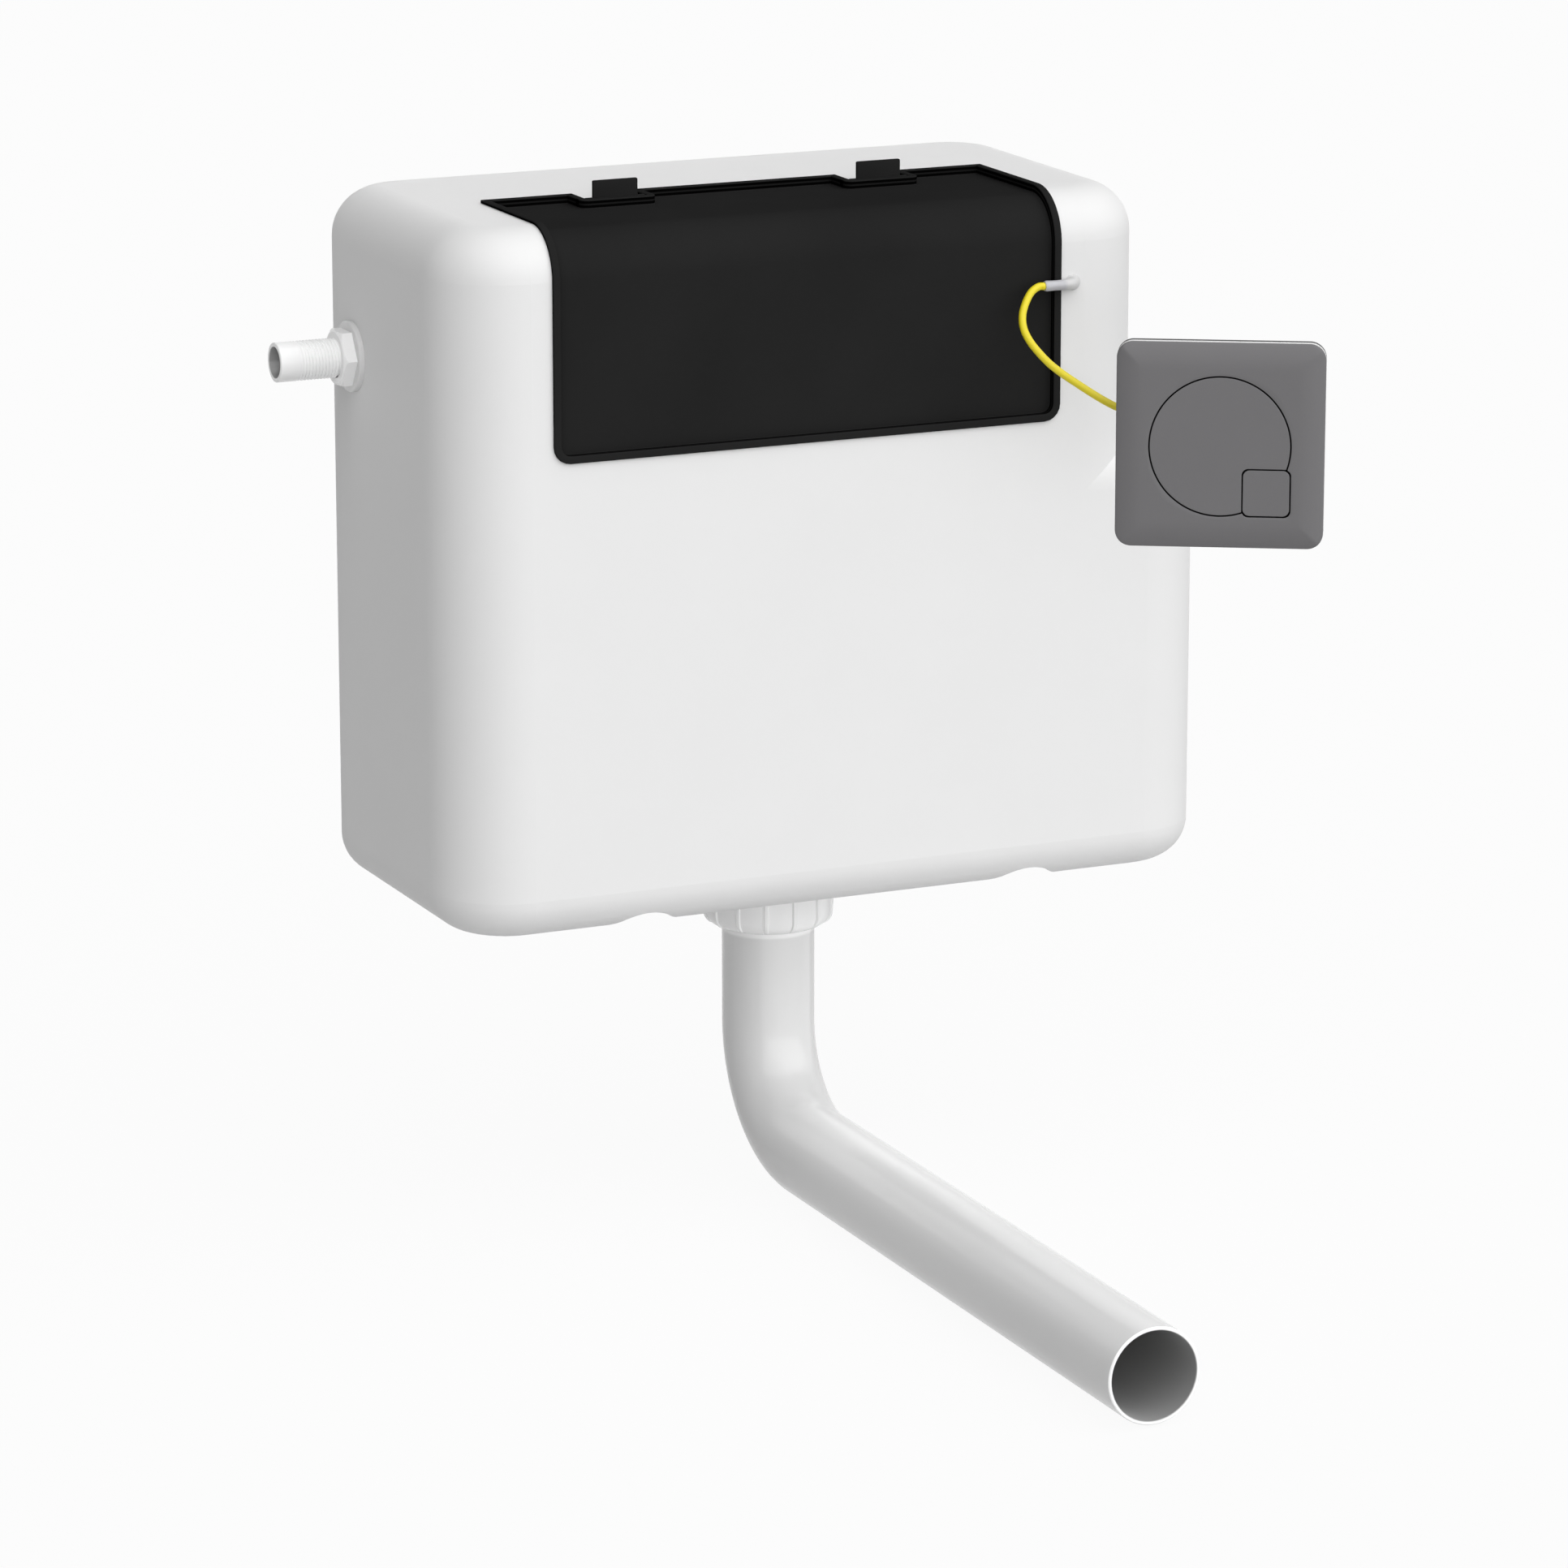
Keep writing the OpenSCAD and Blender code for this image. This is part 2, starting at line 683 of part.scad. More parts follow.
// Cap on the valve's end, with two lugs for the float's lever
module fill_cap() {
  z = pivot_z - inlet_z;
  crown = lug_w - 0.5;
  color(blue) at_inlet() difference() {
    union() {
      rod_x(body_end_x - cap_grip, body_end_x + cap_l, cap_r);
      for (s = [-1, 1])
        translate([0, s * (ear_gap + lug_t) / 2, 0]) along_y(-lug_t / 2, lug_t / 2)
          soft_rect(body_end_x + cap_l - over, z - lug_w, pivot_x + lug_w, z + lug_w, [0, crown, crown, 0]);
    }
    rod_x(body_end_x - cap_grip - over, body_end_x, fill_r + fit);
    translate([pivot_x, 0, z]) rod_y(-ear_gap - lug_t, ear_gap + lug_t, pivot_r + fit / 2);
  }
}

module fill_tube() {
  color(white) placed() translate([spigot_x, -inlet_y, 0])
    ring(fill_tube_r, spigot_r + fit, fill_tube_end, inlet_z - fill_r - slack);
}

module at_pivot() {
  placed() translate([pivot_x, -inlet_y, pivot_z]) children();
}

module lever_pin() {
  w = ear_gap / 2 + lug_t;
  color(steel) at_pivot() rod_y(-w, w, pivot_r);
}

module float_lever() {
  w = ear_gap / 2 - slack;
  color(blue) at_pivot() rotate([0, arm_drop, 0]) difference() {
    union() {
      rod_y(-w, w, arm_t);
      translate([0, -arm_w / 2, -arm_t / 2]) cube([arm_l, arm_w, arm_t]);
      translate([arm_l, 0, 0]) rod_y(-arm_w / 2, arm_w / 2, arm_t);
    }
    rod_y(-w - over, w + over, pivot_r + fit);
    translate([arm_l, 0, 0]) rod_y(-arm_w, arm_w, pivot_r);
  }
}

// Float: a closed cup that hangs from the arm's end by a forked head
module float() {
  inner = arm_w / 2 + slack;
  color(white) at_pivot() translate([arm_l * cos(arm_drop), 0, -arm_l * sin(arm_drop)]) {
    translate([0, 0, -float_drop - float_h])
      rotate_extrude() soft_rect(0, 0, float_r, float_h, [0, float_edge, float_edge, 0]);
    for (s = [-1, 1])
      translate([0, s * (inner + fork_t / 2), -float_drop - over]) along_y(-fork_t / 2, fork_t / 2)
        soft_rect(-arm_t - over, 0, arm_t + over, float_drop + arm_t + 2 * over, [0, 0, arm_t, arm_t]);
    rod_y(-inner - over, inner + over, pivot_r - fit);
  }
}

// Flush valve

module valve_base() {
  color(white) at_outlet() {
    ring(tail_r, tail_bore_r, -tail_l, foot_z);
    ring(base_flange_r, tail_r - over, flange_z, foot_z);
    ring(tail_bore_r + seat_t, tail_bore_r, foot_z - over, seat_z);
  }
}

module base_seal() {
  color(rubber) at_outlet() ring(base_flange_r - 2, tail_r + fit, tank_wall, flange_z);
}

// Clamping nut under the tank, with finger hollows
module base_nut() {
  hollow_r = 5;
  color(white) at_outlet() difference() {
    ring(base_nut_r, tail_r + fit, -base_nut_h, 0);
    for (a = [0 : 45 : 315])
      rotate([0, 0, a]) translate([base_nut_r + hollow_r - 2, 0, -base_nut_h - over])
        cylinder(h = base_nut_h - over, r = hollow_r);
  }
}

// Cage with open windows, the tower over it and the lift tube's guide
module valve_cage() {
  color(blue) at_outlet() {
    ring(cage_r, cage_r - cage_post_t, foot_z, foot_z + cage_ring_h);
    for (i = [0 : cage_posts - 1])
      rotate([0, 0, i * 360 / cage_posts])
        translate([cage_r - cage_post_t + post_in, -cage_post_w / 2, foot_z])
          cube([cage_post_t - 2 * post_in, cage_post_w, cage_z - foot_z]);
    ring(cage_r, tower_r - tower_wall, cage_z - guide_t, cage_z);
    ring(tower_r, tower_r - tower_wall, cage_z - guide_t, tower_z);
    ring(tower_r - tower_wall / 2, lift_r + fit, tower_z - guide_t, tower_z);
  }
}

// Two uprights and a crossbar that hold the cable's end over the lift tube
module valve_bridge() {
  out = bridge_x + bridge_t;
  color(blue) at_outlet() difference() {
    along_y(-bridge_w / 2, bridge_w / 2) difference() {
      soft_rect(-out, tower_z, out, bridge_z, [0, 0, bridge_t / 2, bridge_t / 2]);
      soft_rect(-bridge_x, tower_z - over, bridge_x, bridge_z - bridge_t, [0, 0, bridge_t, bridge_t]);
    }
    translate([0, 0, bridge_z - bridge_t - over]) cylinder(h = bridge_t + 2 * over, r = anchor_r + fit);
  }
}

// Overflow tube that carries the flush seal and the bar for the pull wire
module lift_tube() {
  color(white) at_outlet() difference() {
    union() {
      ring(lift_r, lift_r - lift_wall, seat_z - lip_t, overflow_z);
      ring(tail_bore_r + seat_t / 2, lift_r - over, seat_z + seal_h, seat_z + seal_h + disc_t);
      ring(lift_r + 3, lift_r - over, seat_z - lip_t, seat_z);
      translate([-lift_r + over, -bar_w / 2, overflow_z - bar_h]) cube([2 * (lift_r - over), bar_w, bar_h]);
    }
    translate([0, 0, overflow_z - bar_h - over]) cylinder(h = bar_h + 2 * over, r = wire_r + fit);
  }
}

module flush_seal() {
  color(rubber) at_outlet() ring(tail_bore_r + seat_t + 1, lift_r + fit, seat_z, seat_z + seal_h);
}

module pull_wire() {
  color(steel) at_outlet() {
    translate([0, 0, overflow_z - bar_h]) cylinder(h = bridge_z - overflow_z + 2, r = wire_r);
    translate([0, 0, overflow_z - bar_h - nipple_h]) cylinder(h = nipple_h, r = nipple_r);
  }
}

// Blind barrel that takes the cable's sheath on its head and the wire in its bore
module cable_anchor() {
  low = bridge_z - bridge_t - 2;
  head_t = 2;
  color(steel) at_outlet() difference() {
    union() {
      translate([0, 0, low]) cylinder(h = anchor_top - low, r = anchor_r);
      translate([0, 0, bridge_z]) cylinder(h = anchor_collar, r = anchor_r + 2);
    }
    translate([0, 0, low - over]) cylinder(h = anchor_top - head_t - low + over, r = wire_r + fit);
  }
}

module inner_cable() {
  color(yellow) placed() tube_along(inner_route, cable_r, 8);
}

// Elbow through the tank's front wall, turned along the cover's edge
module cable_elbow() {
  color(clear_grey) placed() {
    translate([elbow_x - elbow_off, -tank_d, elbow_z]) {
      rotate([0, 0, 270]) rotate_extrude(angle = 90) translate([elbow_off, 0]) circle(elbow_r);
      translate([0, -elbow_off, 0]) rod_x(elbow_end[0] - elbow_x + elbow_off, 0, elbow_r);
      translate([elbow_off, 0, 0]) rod_y(0, elbow_stub, elbow_r);
    }
    translate([elbow_x, 0, elbow_z]) {
      rod_y(-tank_d - 1.2, -tank_d, elbow_lip_r);
      rod_y(-tank_d + tank_wall, -tank_d + tank_wall + 2, elbow_lip_r + 0.7);
    }
  }
}

module flush_cable() {
  color(yellow) placed() tube_along(outer_route, cable_r, 12);
}

// Flush pipe

// Cup-shaped outline of the coupling nut, grown by `grow`
module nut_outline(grow) {
  soft_rect(0, nut_low, nut_r + grow, nut_top, [0, nut_foot_r, 1, 0]);
}

module coupling_nut() {
  height = nut_top - nut_low;
  color(white) at_outlet() difference() {
    union() {
      rotate_extrude() nut_outline(0);
      intersection() {
        rotate_extrude() nut_outline(rib_h);
        for (i = [0 : nut_ribs - 1])
          rotate([0, 0, (i + 0.5) * 360 / nut_ribs]) translate([pipe_r, -rib_t / 2, nut_low])
            cube([nut_r, rib_t, height]);
      }
    }
    translate([0, 0, nut_low + nut_lip]) cylinder(h = height, r = tail_r + fit);
    translate([0, 0, nut_low - over]) cylinder(h = height, r = pipe_r + slack);
  }
}

module cone_seal() {
  color(rubber) at_outlet() ring(tail_r - fit, pipe_r + fit, -tail_l - cone_t, -tail_l);
}

module pipe_neck() {
  color(white) at_outlet() ring(pipe_r, pipe_r - pipe_wall, bend_top, pipe_grip - tail_l);
}

module pipe_bend() {
  color(white) at_outlet() translate([0, -bend_r, bend_top]) rotate([90, 0, 90]) rotate([0, 0, 270])
    rotate_extrude(angle = 90) translate([bend_r, 0]) difference() {
      circle(pipe_r);
      circle(pipe_r - pipe_wall);
    }
}

// Lower leg, open at its front end
module flush_pipe() {
  color(white) at_outlet() translate([0, 0, -pipe_drop]) difference() {
    rod_y(-leg_l, -bend_r, pipe_r);
    rod_y(-leg_l - over, -bend_r + over, pipe_r - pipe_wall);
  }
}

// Push plate: its own frame has the face at y = 0 and the wall behind at +y

module at_half() {
  translate([half_c, 0, -half_c]) children();
}

// Section (y, z) of the face: flat in the middle and rounded off to the edge
module pillow_section() {
  r = (pillow_w * pillow_w + pillow_d * pillow_d) / (2 * pillow_d);
  flat = plate_side / 2 - pillow_w;
  translate([0, -flat]) square([face_t, 2 * flat]);
  for (s = [-1, 1]) intersection() {
    translate([r, s * flat]) circle(r);
    translate([0, s > 0 ? flat : -plate_side / 2]) square([face_t, pillow_w]);
  }
}

module plate_face() {
  color(grey) at_plate() difference() {
    intersection() {
      along_y(0, face_t) soft_square(plate_side, plate_r);
      along_x(-plate_side / 2, plate_side / 2) pillow_section();
      translate([0, 0, -plate_side / 2]) linear_extrude(plate_side) mirror([1, -1]) pillow_section();
    }
    along_y(-over, face_t + over) circle(full_r + button_gap);
    at_half() along_y(-over, face_t + over) soft_square(half_w + 2 * button_gap, half_r);
    along_y(pocket_wall, face_t + over) soft_square(plate_side - 2 * pocket_edge, plate_r - pocket_edge);
  }
}

// Carrier behind the face, with guides for the two stems
module plate_frame() {
  color(dark_grey) at_plate() difference() {
    union() {
      along_y(face_t, frame_y) soft_square(plate_side, plate_r);
      along_y(frame_y - over, box_y) soft_square(box_w, box_r);
      rod_y(web_y, box_y + guide_l, stem_r + guide_wall);
      at_half() rod_y(web_y, box_y + half_guide_l, half_stem_r + guide_wall);
    }
    along_y(face_t - over, web_y) soft_square(box_w - 2 * box_wall, box_r - box_wall);
    rod_y(0, box_y + guide_l + over, stem_r + fit);
    at_half() rod_y(0, box_y + guide_l + over, half_stem_r + fit);
    for (s = [-1, 1]) translate([s * screw_x, 0, 0]) rod_y(0, box_y, screw_r + fit);
  }
}

module plate_back() {
  color(dark_grey) at_plate() difference() {
    along_y(box_y, box_d) soft_square(box_w, box_r);
    along_y(box_y - over, box_d - box_wall) soft_square(box_w - 2 * box_wall, box_r - box_wall);
    translate([0, ferrule_y, ferrule_z]) rod_x(-box_w / 2 - over, 0, ferrule_stub_r + fit);
  }
}

// Two screws with cross slots
module plate_screws() {
  head_y = face_t - screw_head_h;
  color(steel) at_plate() for (s = [-1, 1]) translate([s * screw_x, 0, 0]) difference() {
    union() {
      rod_y(head_y, face_t, screw_head_r);
      rod_y(face_t - over, box_y + 8, screw_r);
    }
    for (a = [0, 90])
      translate([0, head_y, 0]) rotate([0, a, 0]) cube([screw_head_r, screw_head_h, 0.9], center = true);
  }
}

module full_button() {
  color(grey) at_plate() {
    difference() {
      along_y(0, button_t) circle(full_r);
      at_half() along_y(-over, button_t + over) soft_square(half_w + 2 * button_gap, half_r);
    }
    rod_y(button_t - over, stem_end, stem_r);
  }
}

module half_button() {
  color(grey) at_plate() at_half() {
    along_y(0, button_t) soft_square(half_w, half_r);
    rod_y(button_t - over, half_stem_end, half_stem_r);
  }
}

// Helical spring along y between a button and the frame's web
module return_spring(r) {
  steps = 8;
  y0 = button_t + spring_wire_r;
  rise = web_y - spring_wire_r - y0;
  echo("least gap between a spring's turns", rise / spring_turns - 2 * spring_wire_r);
  n = steps * spring_turns;
  coil = [for (i = [0 : n]) [r * cos(360 * i / steps), y0 + rise * i / n, r * sin(360 * i / steps)]];
  tube_along(coil, spring_wire_r, 6);
}

module full_spring() {
  color(steel) at_plate() return_spring(stem_r + spring_gap + spring_wire_r);
}

module half_spring() {
  color(steel) at_plate() at_half() return_spring(half_stem_r + spring_gap + spring_wire_r);
}

// Lever that the buttons push and that draws the cable
module pull_lever() {
  pad = half_stem_r + 3;
  half_z = -lever_z - half_c;
  color(blue) at_plate() translate([0, lever_y, lever_z]) difference() {
    union() {
      rod_x(-lever_w / 2, lever_w / 2, axle_r + 2.5);
      along_y(-lever_t / 2, lever_t / 2) {
        soft_rect(-lever_w / 2, -lever_z - lever_low, lever_w / 2, 0, [4, 4, 0, 0]);
        soft_rect(0, half_z - pad, half_c + pad, half_z + pad, [4, 4, 4, 4]);
      }
    }
    rod_x(-lever_w, lever_w, axle_r + fit);
    translate([0, 0, -lever_z - lever_low + 6]) rod_y(-lever_t, lever_t, cable_r);
  }
}

module lever_axle() {
  w = box_w / 2 - box_wall;
  color(steel) at_plate() translate([0, lever_y, lever_z]) rod_x(-w, w, axle_r);
}

// Ferrule that holds the cable's sheath in the box's side
module cable_ferrule() {
  x0 = -box_w / 2;
  color(steel) at_plate() translate([0, ferrule_y, ferrule_z]) {
    rod_x(x0 - ferrule_l, x0, ferrule_r);
    rod_x(x0 - 2.5, x0, ferrule_r + 2);
    rod_x(x0 - over, x0 + box_wall + 2, ferrule_stub_r);
  }
}

tank();
access_cover();
left_latch();
right_latch();
latch_pins();
fill_valve();
inlet_seal();
inlet_nut();
fill_cap();
fill_tube();
lever_pin();
float_lever();
float();
valve_base();
base_seal();
base_nut();
valve_cage();
valve_bridge();
lift_tube();
flush_seal();
pull_wire();
cable_anchor();
inner_cable();
cable_elbow();
flush_cable();
coupling_nut();
cone_seal();
pipe_neck();
pipe_bend();
flush_pipe();
plate_face();
plate_frame();
plate_back();
plate_screws();
full_button();
half_button();
full_spring();
half_spring();
pull_lever();
lever_axle();
cable_ferrule();
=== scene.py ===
"""Looks of the concealed cistern: smooth shells, finishes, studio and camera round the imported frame.

Shapes are worked out in millimetres from the outlet's axis, the wall and the tank's base, with +X to the
right, +Y into the wall and +Z up, and are moved to the row frame's metres when a mesh is made. Finishes
are placed in the row frame's metres.
"""

import json
import logging
import math
from dataclasses import dataclass
from enum import Enum
from typing import Any, ClassVar, Sequence, Union

import bpy
import numpy as np
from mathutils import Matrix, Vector


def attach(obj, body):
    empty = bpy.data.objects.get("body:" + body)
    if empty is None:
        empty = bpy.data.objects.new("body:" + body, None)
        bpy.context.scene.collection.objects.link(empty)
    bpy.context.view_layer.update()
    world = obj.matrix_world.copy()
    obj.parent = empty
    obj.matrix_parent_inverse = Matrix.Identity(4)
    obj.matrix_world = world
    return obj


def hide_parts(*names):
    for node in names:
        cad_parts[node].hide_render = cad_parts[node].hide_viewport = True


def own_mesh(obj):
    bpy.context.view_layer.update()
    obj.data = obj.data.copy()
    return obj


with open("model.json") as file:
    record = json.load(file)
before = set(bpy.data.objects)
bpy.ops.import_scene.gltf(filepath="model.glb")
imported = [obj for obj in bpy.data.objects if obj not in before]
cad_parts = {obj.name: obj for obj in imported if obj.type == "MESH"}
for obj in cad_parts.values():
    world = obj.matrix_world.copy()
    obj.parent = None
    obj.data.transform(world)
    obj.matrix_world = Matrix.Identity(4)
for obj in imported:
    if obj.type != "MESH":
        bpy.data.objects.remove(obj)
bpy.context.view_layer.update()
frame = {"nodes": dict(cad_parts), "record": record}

FIXING_HEIGHT = 330.0
OUTLET_Y = -106.0
BEHIND_PLATE = ("plate_frame", "plate_back", "plate_screws", "pull_lever", "lever_axle", "cable_ferrule")
LOG = logging.getLogger("cistern")

Array = np.ndarray
Thing = bpy.types.Object
Socket = bpy.types.NodeSocket
Colour = tuple[float, float, float]
Point = tuple[float, float, float]
Span = tuple[float, float]
Tint = Union[Colour, Socket]

EVEN: Point = (1.0, 1.0, 1.0)
WHITE: Colour = (1.0, 1.0, 1.0)


def grey(value: float) -> Colour:
    """A colour without hue."""
    return (value, value, value)


class Body(Enum):
    """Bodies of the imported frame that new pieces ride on."""

    CISTERN = "cistern"
    COVER = "cover"
    LEFT_LATCH = "left_latch"
    RIGHT_LATCH = "right_latch"
    FULL_KEY = "full_key"
    HALF_KEY = "half_key"


# Shading


class Wire:
    """A number socket that takes Python's operators; each operator adds one Math node."""

    def __init__(self, shader: "Shader", socket: Socket) -> None:
        """Keeps the tree and the output socket that carries the number."""
        self.shader = shader
        self.socket = socket

    def _math(self, operation: str, first: Any, second: Any) -> "Wire":
        """Value of a Math node with two inputs, each a wire or a number."""
        made = self.shader.node("ShaderNodeMath", {"operation": operation}, {0: first, 1: second})
        return Wire(self.shader, made.outputs[0])

    def __add__(self, other: Any) -> "Wire":
        """Sum."""
        return self._math("ADD", self, other)

    def __radd__(self, other: Any) -> "Wire":
        """Sum with a number on the left."""
        return self._math("ADD", other, self)

    def __sub__(self, other: Any) -> "Wire":
        """Difference."""
        return self._math("SUBTRACT", self, other)

    def __rsub__(self, other: Any) -> "Wire":
        """Difference from a number on the left."""
        return self._math("SUBTRACT", other, self)

    def __mul__(self, other: Any) -> "Wire":
        """Product."""
        return self._math("MULTIPLY", self, other)

    def __rmul__(self, other: Any) -> "Wire":
        """Product with a number on the left."""
        return self._math("MULTIPLY", other, self)

    def root(self) -> "Wire":
        """Square root."""
        return self._math("POWER", self, 0.5)

    def size(self) -> "Wire":
        """Value without its sign."""
        return self._math("ABSOLUTE", self, 0.0)

    def most(self, other: Any) -> "Wire":
        """The larger of two values."""
        return self._math("MAXIMUM", self, other)

    def step(self, low: float, high: float) -> "Wire":
        """Smooth rise from 0 at `low` to 1 at `high`."""
        made = self.shader.node(
            "ShaderNodeMapRange", {"interpolation_type": "SMOOTHSTEP"},
            {"Value": self, "From Min": low, "From Max": high},
        )
        return Wire(self.shader, made.outputs[0])

    def over(self, edge: float, soft: float) -> "Wire":
        """Smooth rise from 0 to 1 across an edge, from `soft` before it to `soft` past it."""
        return self.step(edge - soft, edge + soft)


class Shader:
    """The node tree of one material or world, written as expressions."""

    def __init__(self, owner: Union[bpy.types.Material, bpy.types.World]) -> None:
        """Empties the owner's tree."""
        owner.use_nodes = True
        self.tree = owner.node_tree
        self.tree.nodes.clear()
        self._place: Socket | None = None

    def node(self, kind: str, settings: dict[str, Any] | None = None,
             sockets: dict[Union[str, int], Any] | None = None) -> bpy.types.Node:
        """Adds any node.

        Args:
            kind: Blender's type of the node.
            settings: Properties that are set before the sockets.
            sockets: Values, wires or sockets by the input's name or number.

        Returns:
            The node.
        """
        made = self.tree.nodes.new(kind)
        for name, value in (settings or {}).items():
            setattr(made, name, value)
        for key, value in (sockets or {}).items():
            if isinstance(value, Wire):
                value = value.socket
            if isinstance(value, Socket):
                self.tree.links.new(value, made.inputs[key])
            else:
                made.inputs[key].default_value = value
        return made

    def place(self, stretch: Point = EVEN) -> Socket:
        """Object coordinates, stretched along the axes."""
        if self._place is None:
            self._place = self.node("ShaderNodeTexCoord").outputs["Object"]
        if stretch == EVEN:
            return self._place
        return self.node("ShaderNodeMapping", None, {"Vector": self._place, "Scale": stretch}).outputs[0]

    def noise(self, size_mm: float, detail: float = 2.0, stretch: Point = EVEN) -> Wire:
        """Noise from 0 to 1, with features of a given width and `detail` octaves of finer noise on them."""
        made = self.node(
            "ShaderNodeTexNoise", {"noise_dimensions": "3D"},
            {"Vector": self.place(stretch), "Scale": 1000.0 / size_mm, "Detail": detail},
        )
        return Wire(self, made.outputs[0])

    def cells(self, size_mm: float) -> Wire:
        """Distance to the nearest point of a scattered lattice, in cell widths."""
        made = self.node("ShaderNodeTexVoronoi", {"feature": "F1"},
                         {"Vector": self.place(), "Scale": 1000.0 / size_mm})
        return Wire(self, made.outputs["Distance"])

    def axes(self) -> tuple[Wire, Wire, Wire]:
        """Object coordinates as three numbers."""
        made = self.node("ShaderNodeSeparateXYZ", None, {0: self.place()})
        return Wire(self, made.outputs[0]), Wire(self, made.outputs[1]), Wire(self, made.outputs[2])

    def mix(self, factor: Wire, first: Tint, second: Tint) -> Socket:
        """Colour between two colours or sockets, by the share of the second."""
        ends = [(*tint, 1.0) if isinstance(tint, tuple) else tint for tint in (first, second)]
        made = self.node("ShaderNodeMix", {"data_type": "RGBA"}, {0: factor, 6: ends[0], 7: ends[1]})
        return made.outputs[2]

    def bump(self, height: Wire, depth_mm: float) -> Socket:
        """Normal bent by a height from 0 to 1 that stands for a depth in millimetres."""
        return self.node("ShaderNodeBump", None,
                         {"Strength": 1.0, "Distance": depth_mm * 0.001, "Height": height}).outputs[0]

    def close(self, sockets: dict[str, Any]) -> None:
        """Ends a material's tree in a Principled shader with these values or links on its inputs."""
        surface = self.node("ShaderNodeBsdfPrincipled", None, sockets)
        self.node("ShaderNodeOutputMaterial", None, {"Surface": surface.outputs[0]})


@dataclass(frozen=True)
class Finish:
    """A moulded finish: a cloudy colour, an uneven gloss and a fine grain."""

    slot: str
    colour: Colour
    fade: float = 0.03
    cloud_mm: float = 60.0
    roughness: float = 0.4
    rough_swing: float = 0.06
    grain_mm: float = 1.2
    grain_depth_mm: float = 0.006
    stretch: Point = EVEN
    specular: float = 0.5
    metallic: float = 0.0

    _made: ClassVar[dict[str, bpy.types.Material]] = {}

    def shade(self, shader: Shader) -> Wire:
        """Share of the faded colour over the surface."""
        return shader.noise(self.cloud_mm, 3.0, self.stretch)

    def relief(self, shader: Shader) -> Wire:
        """Height of the grain, from 0 to 1."""
        return shader.noise(self.grain_mm, 2.0, self.stretch)

    def tint(self, shader: Shader) -> Socket:
        """Colour over the surface."""
        dull = tuple(channel * (1.0 - self.fade) for channel in self.colour)
        return shader.mix(self.shade(shader), self.colour, dull)

    def gloss(self, shader: Shader) -> Wire:
        """Roughness over the surface."""
        return self.roughness + self.rough_swing * (shader.noise(self.cloud_mm / 3.0) - 0.5)

    def material(self) -> bpy.types.Material:
        """The material, made once and shared by every piece of this finish."""
        if self.slot not in self._made:
            material = bpy.data.materials.new(self.slot)
            shader = Shader(material)
            grain = self.relief(shader)
            shader.close({
                "Base Color": self.tint(shader),
                "Roughness": self.gloss(shader),
                "Normal": shader.bump(grain, self.grain_depth_mm),
                "Specular IOR Level": self.specular,
                "Metallic": self.metallic,
            })
            self._made[self.slot] = material
        return self._made[self.slot]


@dataclass(frozen=True)
class ErodedFinish(Finish):
    """A spark-eroded grain: small rounded pits over a finer noise."""

    pit_share: float = 0.7
    pit_rise: Span = (0.1, 0.7)
    finer: float = 0.6

    def relief(self, shader: Shader) -> Wire:
        """Pits from scattered cells, roughened by noise."""
        pits = self.pit_share * shader.cells(self.grain_mm).step(*self.pit_rise)
        return pits + (1.0 - self.pit_share) * shader.noise(self.finer * self.grain_mm)


@dataclass(frozen=True)
class CoverFinish(ErodedFinish):
    """A black moulding, with painted shade that makes the wall between its panel and rim blacker, and a thin
    painted highlight line along that wall.
    """

    front: float = 0.18
    top: float = 0.014
    bend: float = 0.026
    # Painted shade: heights between panel and rim, on the rim's walls and the latches' barrels, are drawn
    # near black.
    wall: Span = (-0.0024, 0.0012)
    wall_soft: float = 0.0002
    painted_wall_shading: Colour = grey(0.0012)
    # Painted highlight: a thin lighter line drawn at one height inside the shaded band.
    painted_highlight: float = -0.0006
    painted_highlight_half: Span = (0.0003, 0.0006)
    painted_highlight_colour: Colour = grey(0.011)

    def tint(self, shader: Shader) -> Socket:
        """The plain colour, with painted shade where the height over the tank's edge lies between panel and
        rim, and a painted highlight line at one height in that band.
        """
        _, y, z = shader.axes()
        ahead, above = (-self.front - y).most(0.0), (z - self.top).most(0.0)
        height = (ahead * ahead + above * above).root() - self.bend
        low, high = self.wall
        # Painted shade over the band between panel and rim.
        between = height.over(low, self.wall_soft) * (1.0 - height.over(high, self.wall_soft))
        # Painted highlight line inside that band.
        painted_highlight = 1.0 - (height - self.painted_highlight).size().step(*self.painted_highlight_half)
        wall = shader.mix(painted_highlight, self.painted_wall_shading, self.painted_highlight_colour)
        return shader.mix(between, super().tint(shader), wall)


